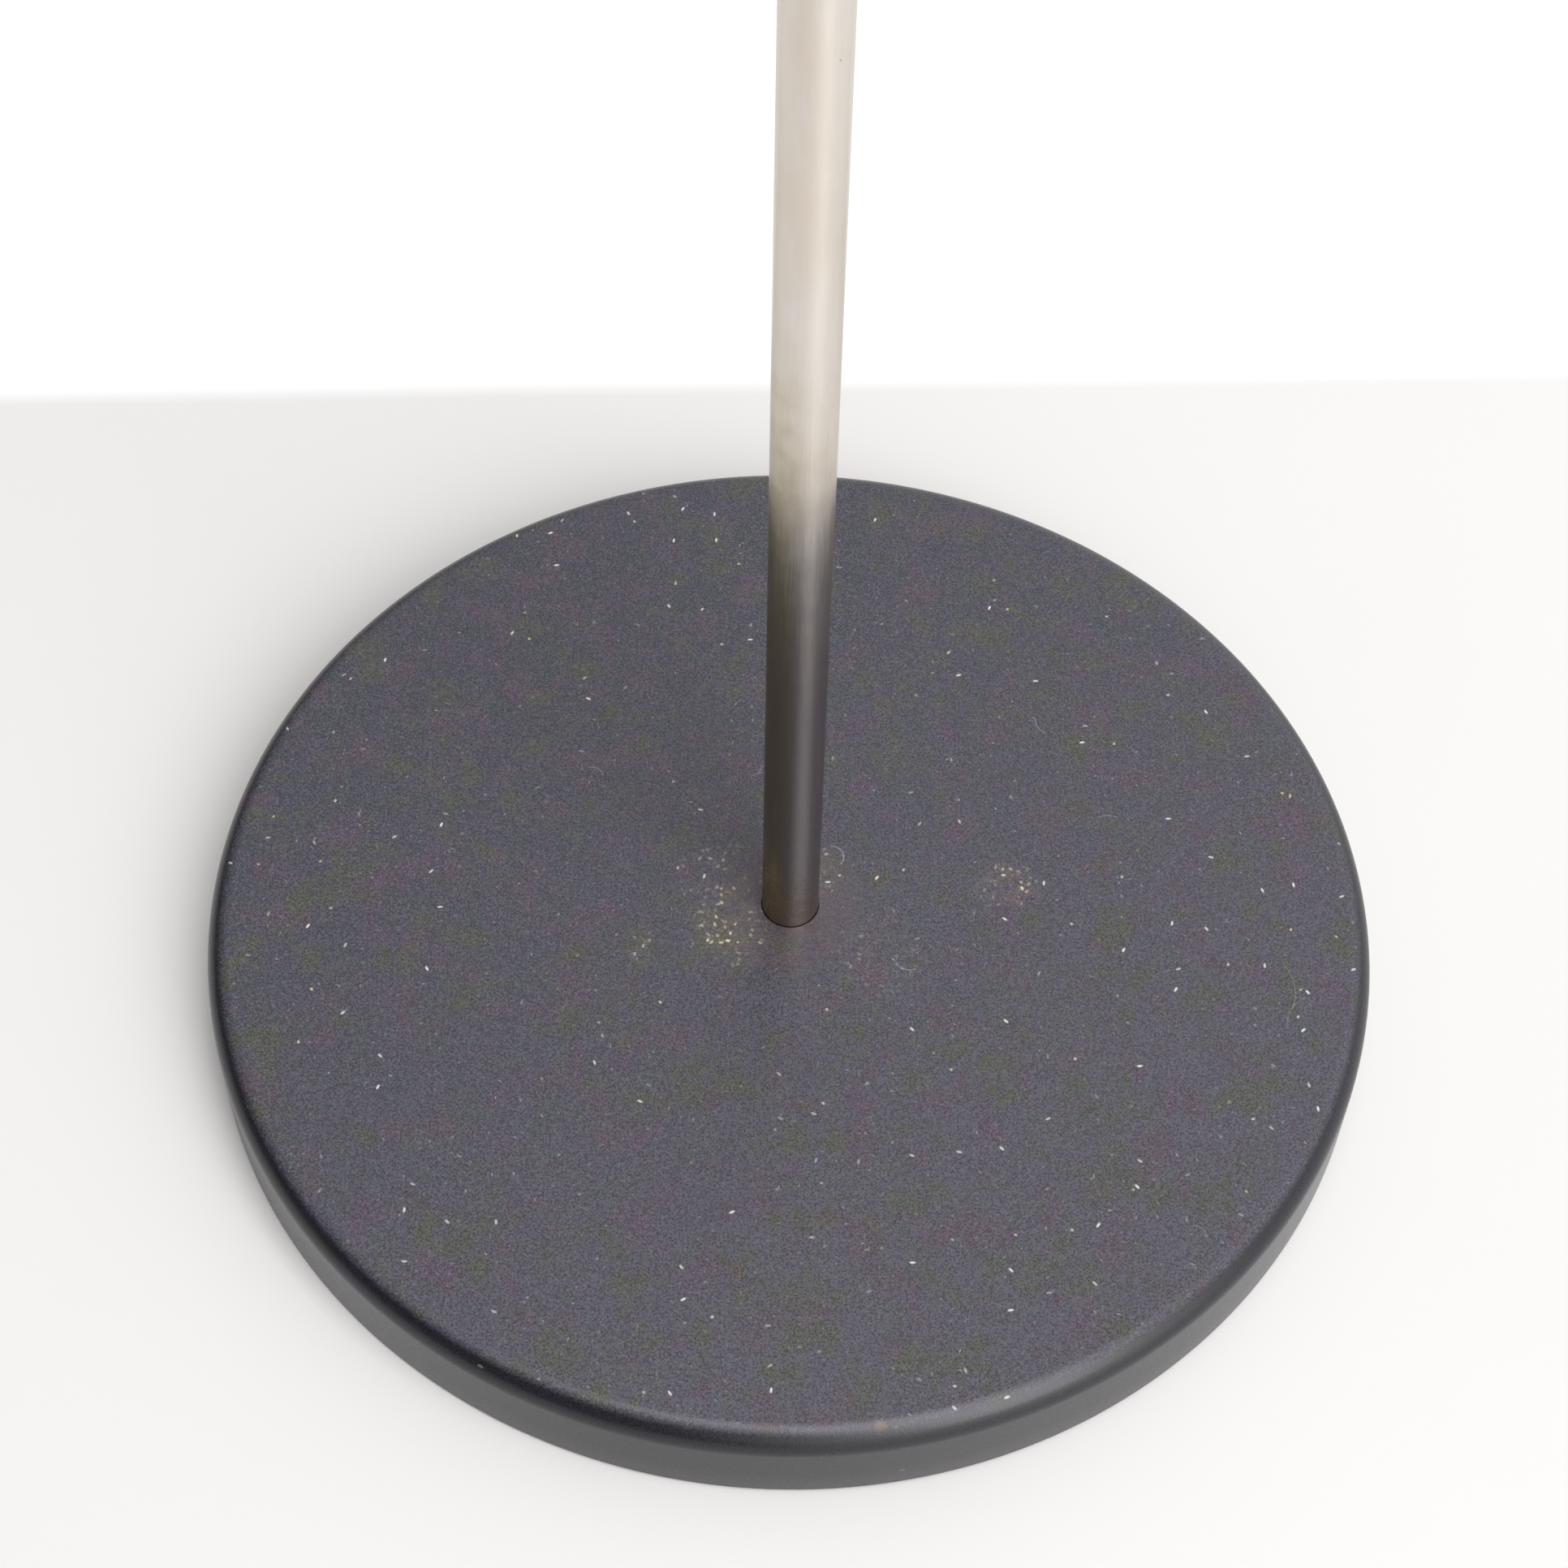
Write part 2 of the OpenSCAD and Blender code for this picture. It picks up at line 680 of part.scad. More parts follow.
// Moulded holder: a narrow back, a shoulder behind the shade and a threaded front
module lamp_holder(i) {
  stem_d = 10;
  wire_d = 4;
  back_d = 24;
  back_l = 8;
  edge = 2;
  shoulder_t = 3;
  color("#1d1b1a") at_head(i) along_x() difference() {
    union() {
      translate([0, 0, cup_back + cup_t]) cylinder(d = stem_d, h = holder_stem_l + edge);
      translate([0, 0, holder_back]) soft_cylinder(back_d / 2, 2 * back_l, edge);
      translate([0, 0, holder_back + back_l])
        cylinder(d = holder_d, h = holder_front - holder_back - back_l);
      translate([0, 0, shade_back - shoulder_t])
        cylinder(r = cup_r - cup_t - slip, h = shoulder_t);
    }
    translate([0, 0, holder_floor]) cylinder(d = holder_bore, h = far);
    translate([0, 0, cup_back]) cylinder(d = wire_d, h = far);
  }
}

// Half outline of the shade: a quarter of an ellipse that ends parallel to the axis
function shade_curve(inset) =
  [for (k = [0 : shade_steps])
    let (a = shade_start + (90 - shade_start) * k / shade_steps)
    [(mouth_r - inset) * sin(a), mouth_x - (shade_depth - inset) * cos(a)]];

// Spun shade with a bead rolled round its mouth and cooling slots round its shoulder
module shade(i) {
  outer = shade_curve(0);
  inner = shade_curve(shade_t);
  hole_r = holder_d / 2 + slip;
  slot_floor = neck_r - 10;
  color("#26262a") at_head(i) difference() {
    along_x() rotate_extrude($fn = 96) {
      polygon(concat([[hole_r, shade_back]], outer,
                     [for (k = [shade_steps : -1 : 0])
                       [inner[k].x, max(inner[k].y, shade_back + shade_t)]],
                     [[hole_r, shade_back + shade_t]]));
      translate([mouth_r + bead_r - shade_t, mouth_x - bead_r]) circle(r = bead_r, $fn = 24);
    }
    for (k = [0 : vent_count - 1])
      rotate([360 * (k + 0.5) / vent_count, 0, 0])
        translate([shade_back + vent_x, 0, slot_floor])
          vent_cutter();
  }
}

// Slot with round ends, drawn along X
module vent_cutter() {
  half = (vent_l - vent_w) / 2;
  linear_extrude(mouth_r) {
    square([2 * half, vent_w], center = true);
    for (x = [-half, half]) translate([x, 0]) circle(d = vent_w, $fn = 24);
  }
}

// Threaded ring that clamps the shade to the holder, with a grip of notches
module shade_ring(i) {
  notch_count = 12;
  notch_r = 1.6;
  notch_out = 0.6;
  notch_foot = 1.5;
  color("#1d1b1a") at_head(i) translate([shade_back + shade_t, 0, 0]) along_x()
    difference() {
      tube(ring_d / 2, holder_d / 2, ring_h);
      for (k = [0 : notch_count - 1]) rotate([0, 0, 360 * k / notch_count])
        translate([ring_d / 2 + notch_out, 0, notch_foot])
          cylinder(r = notch_r, h = ring_h, $fn = 24);
    }
}

// Screw cap: a solid back that tapers to its contact, then a thin shell round the glass
module bulb_cap(i) {
  cap_r = cap_d / 2;
  shell_r = cap_r - cap_shell_t;
  contact_r = 4.5;
  taper_h = 6;
  color("#c9c6bd") at_head(i) translate([cap_back, 0, 0]) along_x() rotate_extrude()
    polygon([[0, 0], [contact_r, 0], [contact_r + 0.5, 1], [10.5, 4], [cap_r, taper_h],
             [cap_r, cap_l], [shell_r, cap_l], [shell_r, cap_solid_l], [0, cap_solid_l]]);
}

// Half outline of the glass: straight neck, a swelling shoulder and a round end
function bezier(p, t) = pow(1 - t, 3) * p[0] + 3 * pow(1 - t, 2) * t * p[1]
                        + 3 * (1 - t) * pow(t, 2) * p[2] + pow(t, 3) * p[3];
function glass_curve(inset) =
  let (n = bulb_neck_r - inset,
       r = bulb_r - inset,
       neck_x = bulb_start + 16,
       meet = [r * sin(glass_leave), bulb_centre + r * cos(glass_leave)],
       handle = [n, meet.y - (meet.x - n) * abs(tan(glass_leave))])
  concat([[n, bulb_start]],
         [for (k = [0 : shoulder_steps - 1])
           bezier([[n, neck_x], [n, (neck_x + handle.y) / 2], handle, meet],
                  k / shoulder_steps)],
         [for (k = [0 : ball_steps])
           let (a = glass_leave * (1 - k / ball_steps))
           [r * sin(a), bulb_centre + r * cos(a)]]);

// Thin glass, open only inside its cap
module bulb(i) {
  outer = glass_curve(0);
  inner = glass_curve(glass_t);
  last = len(inner) - 1;
  color("#f3efe2") at_head(i) along_x() rotate_extrude()
    polygon(concat(outer, [for (k = [last : -1 : 0]) inner[k]]));
}

// ---- Switch ----

// Rounded housing drawn round the pole: two soft cylinders and the block between them
module housing_solid(inset) {
  r = switch_w / 2 - inset;
  h = switch_h - 2 * inset;
  edge = switch_edge - min(inset, switch_edge - 1);
  translate([0, 0, switch_z - h / 2]) {
    for (y = [0, -switch_reach]) translate([0, y, 0]) soft_cylinder(r, h, edge);
    rotate([90, 0, 0]) linear_extrude(switch_reach) {
      translate([-r + edge, 0]) square([2 * (r - edge), h]);
      translate([-r, edge]) square([2 * r, h - 2 * edge]);
      for (x = [-r + edge, r - edge], z = [edge, h - edge])
        translate([x, z]) circle(r = edge);
    }
  }
}

// Everything in front of the pole's axis, as far as the flat face less a wall
module front_part(wall) {
  translate([-far / 2, -flat_face + wall, 0]) cube([far, flat_face, 3 * switch_z]);
}

// Front half: a hollow shell round the switch, flat where the knob turns
module switch_front() {
  color("#1d1c1f") difference() {
    intersection() {
      housing_solid(0);
      front_part(0);
    }
    intersection() {
      housing_solid(switch_wall);
      front_part(switch_wall);
    }
    pole_passage();
    translate([0, 0, switch_z]) rotate([90, 0, 0])
      cylinder(d = unit_neck_d + 2 * slip, h = far);
  }
}

// Rear half: a solid clamp that closes round the pole
module switch_rear() {
  color("#1d1c1f") difference() {
    intersection() {
      housing_solid(0);
      translate([-far / 2, 0, 0]) cube([far, far / 2, 3 * switch_z]);
    }
    pole_passage();
  }
}

module pole_passage() {
  translate([0, 0, switch_z - switch_h]) cylinder(r = tube_r + slip, h = 2 * switch_h);
}

// Rotary switch: its body and the threaded neck through the housing, bored for the knob's stem
module switch_unit() {
  pole_gap = 1.5;
  side_gap = 0.4;
  front = -flat_face + switch_wall;
  depth = -front - tube_r - pole_gap;
  neck_out = 4;
  terminal_d = 3.4;
  terminal_z = 8;
  terminal_depth = 3;
  color("#3b2a20") translate([0, 0, switch_z]) difference() {
    union() {
      intersection() {
        translate([-unit_w / 2, front, -unit_h / 2]) cube([unit_w, depth, unit_h]);
        translate([0, -switch_reach, -unit_h])
          cylinder(r = switch_w / 2 - switch_wall - side_gap, h = 2 * unit_h);
      }
      translate([0, front, 0]) rotate([90, 0, 0])
        cylinder(d = unit_neck_d, h = switch_wall + neck_out);
    }
    for (z = [-terminal_z, terminal_z]) translate([0, front + depth - terminal_depth, z])
      rotate([-90, 0, 0]) cylinder(d = terminal_d, h = terminal_depth + 1);
    translate([0, -flat_face + stem_depth, 0]) rotate([90, 0, 0])
      cylinder(r = stem_r + fit, h = far);
  }
}

module switch_nut() {
  color("#b9b6b0") translate([0, -flat_face, switch_z]) rotate([90, 0, 0])
    tube(switch_nut_r, unit_neck_d / 2, switch_nut_h);
}

// Fluted knob with a recess round the nut, a pointer notch and a stem into the switch
module switch_knob() {
  knob_r = knob_d / 2;
  edge = 1.5;
  recess_r = switch_nut_r + 0.4;
  recess_h = 4.6;
  flute_r = 2;
  flute_out = 1.2;
  skirt_h = 3;
  pointer_w = 1.2;
  pointer_l = 5;
  pointer_depth = 0.6;
  tip_gap = 1;
  color("#141416") translate([0, -flat_face - knob_gap, switch_z]) rotate([90, 0, 0]) {
    difference() {
      soft_cylinder(knob_r, knob_h, edge);
      for (k = [0 : knob_flutes - 1]) rotate([0, 0, 360 * (k + 0.5) / knob_flutes])
        translate([knob_r + flute_out, 0, skirt_h])
          cylinder(r = flute_r, h = knob_h, $fn = 24);
      translate([0, 0, -eps]) cylinder(r = recess_r, h = recess_h);
      translate([-pointer_w / 2, knob_r - edge - pointer_l, knob_h - pointer_depth])
        cube([pointer_w, pointer_l, 1]);
    }
    translate([0, 0, tip_gap - knob_gap - stem_depth])
      cylinder(r = stem_r, h = stem_depth + recess_h);
  }
}

// ---- Telescopic top ----

// Flanged nylon bush in the mouth of the pole
module guide_bush() {
  color("#e6e3da") difference() {
    union() {
      translate([0, 0, pole_top - bush_l]) cylinder(r = tube_in, h = bush_l);
      translate([0, 0, pole_top]) cylinder(r = tube_r, h = bush_flange_h);
    }
    translate([0, 0, pole_top - bush_l - 1])
      cylinder(r = slider_r + fit, h = bush_l + bush_flange_h + 2);
    translate([0, 0, clamp_z]) along_x() cylinder(d = clamp_d + 2 * slip, h = tube_d);
  }
}

// Collar over the pole's top, closed over the bush, with a boss for the clamping screw
module clamp_collar() {
  edge = 1.5;
  boss_wall = 4;
  boss_edge = 0.8;
  mouth_gap = 0.5;
  color("#b9b6b0") difference() {
    union() {
      translate([0, 0, collar_z]) soft_cylinder(collar_d / 2, collar_h, edge);
      translate([0, 0, clamp_z]) along_x()
        soft_cylinder(clamp_d / 2 + boss_wall, clamp_boss_x, boss_edge);
    }
    translate([0, 0, collar_z - 1])
      cylinder(r = tube_r, h = pole_top + bush_flange_h - collar_z + 1);
    translate([0, 0, collar_z]) cylinder(r = slider_r + mouth_gap, h = collar_h + 1);
    translate([0, 0, clamp_z]) along_x() cylinder(r = clamp_d / 2 + fit, h = far);
  }
}

// Thumb screw whose tip bears on the sliding tube
module clamp_screw() {
  head_x = clamp_boss_x + 1.5;
  edge = 1;
  flutes = 20;
  flute_r = 0.9;
  flute_out = 0.4;
  color("#a8abae") translate([0, 0, clamp_z]) along_x() difference() {
    union() {
      translate([0, 0, slider_r + rest_gap])
        cylinder(d = clamp_d, h = head_x - slider_r);
      translate([0, 0, head_x]) soft_cylinder(clamp_head_d / 2, clamp_head_h, edge);
    }
    for (k = [0 : flutes - 1]) rotate([0, 0, 360 * k / flutes])
      translate([clamp_head_d / 2 + flute_out, 0, head_x - 1])
        cylinder(r = flute_r, h = clamp_head_h + 2, $fn = 16);
  }
}

module sliding_tube() {
  color("#d0cec8") translate([0, 0, slider_z])
    tube(slider_r, slider_in, slider_top - slider_z);
}

// Nylon ring that keeps the lower end of the sliding tube central in the pole
module slider_guide() {
  lip = 2;
  sleeve_l = 14;
  color("#e6e3da") translate([0, 0, slider_z - lip]) difference() {
    cylinder(r = tube_in - fit, h = sleeve_l + lip);
    translate([0, 0, lip]) cylinder(r = slider_r, h = sleeve_l + 1);
    translate([0, 0, -1]) cylinder(r = slider_in, h = sleeve_l);
  }
}

// Flanged plug in the sliding tube, which guides the rod and carries the spring
module spring_seat() {
  edge = 1;
  color("#b9b6b0") difference() {
    union() {
      translate([0, 0, slider_top - seat_l]) cylinder(r = slider_in, h = seat_l);
      translate([0, 0, slider_top]) soft_cylinder(seat_flange_d / 2, seat_flange_h, edge);
    }
    translate([0, 0, slider_top - seat_l - 1])
      cylinder(r = rod_r + fit, h = seat_l + seat_flange_h + 2);
  }
}

// One length of round wire from the seat up to the ceiling cup
module tension_spring() {
  color("#8d8f92") wire(spring_path, spring_out, spring_wire, wire_sides);
}

// Rod from below the spring seat up into the ceiling cup's boss
module plunger_rod() {
  tail = 14;
  foot_z = slider_top - seat_l - tail;
  color("#c6c8ca") translate([0, 0, foot_z])
    cylinder(r = rod_r, h = cup_z + rod_seat_h - foot_z);
}

// Collar pinned to the rod, which stops against the spring seat
module plunger_stop() {
  stop_h = 8;
  side_gap = 0.4;
  cross_hole_d = 2;
  color("#b98a3a") translate([0, 0, slider_top - seat_l - stop_h]) difference() {
    cylinder(r = slider_in - side_gap, h = stop_h);
    translate([0, 0, -1]) cylinder(r = rod_r, h = stop_h + 2);
    translate([0, 0, stop_h / 2]) along_x()
      cylinder(d = cross_hole_d, h = slider_d, $fn = 24);
  }
}

// Spun dish: a boss on the rod, a flat floor and a flared wall round the rubber
module ceiling_cup() {
  floor_z = cup_z + cup_boss_h;
  boss_r = 11;
  boss_edge = 0.8;
  rim_r = ceiling_d / 2;
  wall_foot_r = rim_r - 6;
  floor_r = wall_foot_r - 6;
  color("#b9b6b0") difference() {
    union() {
      translate([0, 0, cup_z]) soft_cylinder(boss_r, cup_boss_h + 1, boss_edge);
      translate([0, 0, floor_z]) rotate_extrude($fn = 96)
        polygon([[0, 0], [floor_r, 0], [floor_r + 4, 1], [wall_foot_r, 4],
                 [rim_r, ceiling_h], [rim_r - ceiling_t, ceiling_h],
                 [wall_foot_r - ceiling_t, 4.8], [floor_r + 3, ceiling_t + 0.6],
                 [floor_r, ceiling_t], [0, ceiling_t]]);
    }
    translate([0, 0, cup_z - 1]) cylinder(r = rod_r, h = rod_seat_h + 1);
  }
}

// Rubber disc in the dish, with a rounded face and a shallow suction hollow
module ceiling_pad() {
  side_gap = 2.4;
  pad_r = ceiling_d / 2 - ceiling_t - side_gap;
  edge = 2;
  seat_z = cup_z + cup_boss_h + ceiling_t;
  seat_r = ceiling_d / 2 - 16;
  hollow_r = pad_r - 7.2;
  hollow_depth = 1;
  color("#2a2a2c") difference() {
    union() {
      translate([0, 0, ceiling_top - ceiling_pad_t])
        soft_cylinder(pad_r, ceiling_pad_t, edge);
      translate([0, 0, seat_z]) cylinder(r = seat_r, h = ceiling_top - seat_z - 3);
    }
    translate([0, 0, ceiling_top - hollow_depth]) cylinder(r = hollow_r, h = 2);
  }
}

base_shell();
base_weight();
felt_pad();
base_stud();
base_nut();
base_washer();
cord_grommet();
foot_plug();
lower_tube();
lower_coupler();
middle_tube();
upper_coupler();
upper_tube();
nipple_nuts();
switch_front();
switch_rear();
switch_unit();
switch_nut();
switch_knob();
guide_bush();
clamp_collar();
clamp_screw();
sliding_tube();
slider_guide();
spring_seat();
tension_spring();
plunger_rod();
plunger_stop();
ceiling_cup();
ceiling_pad();
for (i = [1 : 3]) {
  head_boss(i);
  fork(i);
  pin(i);
  pin_nut(i);
  socket_cup(i);
  lamp_holder(i);
  shade(i);
  shade_ring(i);
  bulb_cap(i);
  bulb(i);
}
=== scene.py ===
"""Looks of the tension pole lamp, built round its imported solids. Metres, +Z up."""
import math

import bmesh
import bpy
from mathutils import Matrix, Vector


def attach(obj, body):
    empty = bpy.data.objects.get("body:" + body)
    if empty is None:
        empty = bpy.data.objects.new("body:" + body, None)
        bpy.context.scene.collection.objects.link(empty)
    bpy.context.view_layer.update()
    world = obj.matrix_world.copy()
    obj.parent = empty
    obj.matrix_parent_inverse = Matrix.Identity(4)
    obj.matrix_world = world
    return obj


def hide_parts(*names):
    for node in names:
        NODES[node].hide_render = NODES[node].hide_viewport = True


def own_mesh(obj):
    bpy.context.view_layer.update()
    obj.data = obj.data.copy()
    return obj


MM = 0.001
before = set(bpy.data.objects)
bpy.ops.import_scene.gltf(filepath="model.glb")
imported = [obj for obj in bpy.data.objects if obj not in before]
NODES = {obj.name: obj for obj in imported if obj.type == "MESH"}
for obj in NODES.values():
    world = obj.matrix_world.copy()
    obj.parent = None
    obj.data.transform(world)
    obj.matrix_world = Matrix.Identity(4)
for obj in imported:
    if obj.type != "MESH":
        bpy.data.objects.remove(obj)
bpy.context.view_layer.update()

# Sizes in millimetres and angles in degrees, the same as the solids'
BASE_R, BASE_TOP, BASE_CORNER, SHEET, RIM_LIFT = 195.0, 33.5, 8.0, 1.5, 1.0
FELT_INSET, FELT_H = 4.0, 2.0
TUBE_R, TUBE_IN, TUBE_SLIP = 9.5, 8.5, 0.1
POLE_Z, SECTION, RING_H = 26.0, 690.0, 12.0
HEAD_Z = (1160.0, 1510.0, 1860.0)
HEAD_TURN = (0.0, 180.0, 270.0)  # round the pole
HEAD_TILT = (-40.0, -20.0, 35.0)  # above level
PIVOT_R = 48.0  # from the pole's axis to a head's tilting pin
MOUTH_X, MOUTH_R, SHADE_BACK, NECK_R, SHADE_T = 165.0, 58.0, 58.0, 27.0, 1.0
BEAD_X, BEAD_R, BEAD_WIRE = 163.3, 58.7, 1.7
SLOTS, SLOT_X, SLOT_HALF_L, SLOT_HALF_W = 10, 78.0, 5.5, 2.0
SCREWS = ((858.0, 25.0), (902.0, -50.0))  # height and turn of each housing screw
SEAT_TOP, SPRING_L, SPRING_R, SPRING_WIRE, SPRING_TURNS = 2295.0, 110.0, 7.2, 2.0, 14
DISH_Z, DISH_R, DISH_H, PAD_TOP = 2413.0, 36.0, 22.0, 2443.0


# ---- Camera ----

EYE = (0.0, -0.5795, 0.9064)
PITCH, ROLL, YAW = 54.235, 1.455, -0.309  # down, leaning and sideways, in degrees
LENS, SENSOR = 71.616, 36.0  # millimetres


def photo_camera():
    """The photograph's viewpoint: high in front of the pole, looking down at its foot."""
    pitch, roll, yaw = (math.radians(a) for a in (PITCH, ROLL, YAW))
    forward = Vector((math.sin(yaw) * math.cos(pitch), math.cos(yaw) * math.cos(pitch),
                      -math.sin(pitch)))
    level = Vector((math.cos(yaw), -math.sin(yaw), 0.0))
    upright = level.cross(forward)
    right = math.cos(roll) * level + math.sin(roll) * upright
    up = -math.sin(roll) * level + math.cos(roll) * upright
    data = bpy.data.cameras.new("photo_camera")
    data.sensor_width = SENSOR
    data.lens = LENS
    data.clip_start = 0.05
    data.clip_end = 200.0
    camera = bpy.data.objects.new("photo_camera", data)
    turn = Matrix((right, up, -forward)).transposed().to_4x4()
    camera.matrix_world = Matrix.Translation(EYE) @ turn
    bpy.context.scene.collection.objects.link(camera)
    bpy.context.scene.camera = camera


# ---- Materials ----

MIX_SHARE, MIX_A, MIX_B, MIX_RESULT = 0, 6, 7, 2  # sockets of a colour Mix node
LEVEL = (1.0, 1.0, 0.0)  # factors that drop a point's height


class Paint:
    """One node material. Every pattern runs on object coordinates in metres."""

    def __init__(self, name, **sockets):
        self.material = bpy.data.materials.new(name)
        self.material.use_nodes = True
        self.tree = self.material.node_tree
        self.shader = self.tree.nodes["Principled BSDF"]
        for socket, value in sockets.items():
            self.shader.inputs[socket.replace("_", " ")].default_value = value
        self.place = self.node("TexCoord").outputs["Object"]
        self.facing = self.node("TexCoord").outputs["Normal"]
        self.relief = None

    def node(self, kind, *values, **settings):
        made = self.tree.nodes.new("ShaderNode" + kind)
        for name, value in settings.items():
            setattr(made, name, value)
        for socket, value in zip(made.inputs, values):
            self.feed(socket, value)
        return made

    def feed(self, socket, value):
        if isinstance(value, bpy.types.NodeSocket):
            self.tree.links.new(value, socket)
        elif value is not None:
            if socket.type == "RGBA" and len(value) == 3:
                value = (*value, 1.0)
            socket.default_value = value

    def math(self, operation, a, b=None):
        return self.node("Math", a, b, operation=operation).outputs[0]

    def vector(self, operation, a, b=None):
        made = self.node("VectorMath", a, b, operation=operation)
        scalar = operation in ("LENGTH", "DISTANCE", "DOT_PRODUCT")
        return made.outputs["Value" if scalar else "Vector"]

    def stretched(self, factors):
        """Object coordinates scaled along each axis, for brushed or drawn patterns."""
        return self.vector("MULTIPLY", self.place, factors)

    def noise(self, scale, detail=3.0, rough=0.55, place=None, distortion=0.0):
        made = self.node("TexNoise")
        for name, value in (("Vector", place or self.place), ("Scale", scale),
                            ("Detail", detail), ("Roughness", rough),
                            ("Distortion", distortion)):
            self.feed(made.inputs[name], value)
        return made.outputs["Fac"]

    def cells(self, scale, dimensions="3D"):
        made = self.node("TexVoronoi", voronoi_dimensions=dimensions)
        self.feed(made.inputs["Vector"], self.place)
        self.feed(made.inputs["Scale"], scale)
        return made.outputs

    def span(self, value, low, high, to_low=0.0, to_high=1.0):
        """Smooth step from to_low, where value is low, to to_high, where it is high."""
        made = self.node("MapRange", value, low, high, to_low, to_high,
                         interpolation_type="SMOOTHSTEP")
        return made.outputs["Result"]

    def mix(self, share, a, b):
        made = self.node("Mix", data_type="RGBA")
        for index, value in ((MIX_SHARE, share), (MIX_A, a), (MIX_B, b)):
            self.feed(made.inputs[index], value)
        return made.outputs[MIX_RESULT]

    def part(self, vector, index):
        return self.node("SeparateXYZ", vector).outputs[index]

    def bump(self, height, distance, strength=1.0):
        """Adds a relief, distance metres deep, on top of those added before."""
        made = self.node("Bump")
        made.inputs["Strength"].default_value = strength
        made.inputs["Distance"].default_value = distance
        self.feed(made.inputs["Height"], height)
        if self.relief:
            self.feed(made.inputs["Normal"], self.relief)
        self.relief = made.outputs["Normal"]

    def done(self, color, rough=None):
        self.feed(self.shader.inputs["Base Color"], color)
        if rough is not None:
            self.feed(self.shader.inputs["Roughness"], rough)
        if self.relief:
            self.feed(self.shader.inputs["Normal"], self.relief)
        return self.material

    def flecks(self, spacing, share, length, width, dimensions="3D"):
        """Mask of scattered specks, each lying its own way: share of the cells hold one."""
        cells = self.cells(1.0 / spacing, dimensions)
        pick, shine, turn = (self.part(cells["Color"], axis) for axis in range(3))
        offset = self.vector("SUBTRACT", self.place, cells["Position"])
        if dimensions == "2D":
            offset = self.vector("MULTIPLY", offset, LEVEL)
        spun = self.node("VectorRotate", offset, rotation_type="Z_AXIS")
        self.feed(spun.inputs["Angle"], self.math("MULTIPLY", turn, 2 * math.pi))
        across = 2.0 / width
        shape = self.vector("MULTIPLY", spun.outputs[0], (2.0 / length, across, across))
        mark = self.span(self.vector("LENGTH", shape), 1.15, 0.6)
        few, many = 0.3 * share, 1.7 * share  # specks come in loose crowds
        limit = self.span(self.noise(0.22 / spacing, 2.0, 0.6), 0.38, 0.62,
                          1.0 - few, 1.0 - many)
        picked = self.math("GREATER_THAN", pick, limit)
        bright = self.span(shine, 0.0, 1.0, 0.2, 1.0)
        return self.math("MULTIPLY", self.math("MULTIPLY", mark, picked), bright)

    def arc(self, centre, radius, toward, opening, width):
        """Mask of a fine curved fibre lying on a level face: an arc seen from above."""
        flat = self.vector("MULTIPLY", self.place, LEVEL)
        offset = self.vector("SUBTRACT", flat, (*centre, 0.0))
        off_line = self.math("ABSOLUTE", self.math(
            "SUBTRACT", self.vector("LENGTH", offset), radius))
        side = self.vector("DOT_PRODUCT", self.vector("NORMALIZE", offset),
                           (math.cos(toward), math.sin(toward), 0.0))
        line = self.span(off_line, width, width * 0.3)
        return self.math("MULTIPLY", line,
                         self.math("GREATER_THAN", side, math.cos(opening)))


GRIME = (  # x, y, reach and strength of each stain round the pole's foot
    (-0.020, -0.012, 0.018, 0.95), (0.008, 0.015, 0.014, 0.60), (-0.024, 0.010, 0.020, 0.50),
    (0.073, 0.010, 0.013, 1.00), (-0.049, -0.019, 0.009, 0.50), (0.030, -0.020, 0.022, 0.30))
FIBRES = (  # centre, radius, middle direction, half opening and strength of each curved fibre
    ((0.0135, 0.0195), 0.0042, 0.4, 1.2, 0.55), ((0.0400, -0.0200), 0.0050, -1.9, 0.8, 0.45),
    ((0.1500, -0.0284), 0.0175, 0.1, 0.55, 0.25), ((0.1760, -0.0420), 0.0120, 2.6, 0.6, 0.20),
    ((-0.0700, 0.0500), 0.0040, 1.0, 0.9, 0.35), ((0.0900, 0.0800), 0.0060, 3.6, 0.6, 0.35),
    ((0.1080, 0.0330), 0.0070, 1.6, 0.5, 0.35), ((-0.0150, 0.0560), 0.0035, -0.6, 0.9, 0.35),
    ((0.1290, -0.1210), 0.0045, 0.8, 0.7, 0.30), ((-0.1150, 0.0150), 0.0030, 2.0, 0.8, 0.30))
DUST = (  # spacing, share of cells, length, width, strength and colour, by size of fleck
    (0.0145, 0.24, 0.0021, 0.0009, 0.90, (0.80, 0.80, 0.77)),
    (0.0190, 0.28, 0.0013, 0.0010, 0.85, (0.66, 0.58, 0.42)),
    (0.0070, 0.20, 0.0013, 0.0006, 0.50, (0.50, 0.50, 0.52)),
    (0.0036, 0.30, 0.0009, 0.0007, 0.35, (0.38, 0.37, 0.40)))
FIBRE_WIDTH, FIBRE_TONE = 0.00020, (0.55, 0.55, 0.56)
RUST_SPOT = (0.0318, -0.1873, 0.0)
PAINTED_LIGHT_WAY = (0.55, -0.84, 0.0)  # painted light: the top is painted lighter this way across
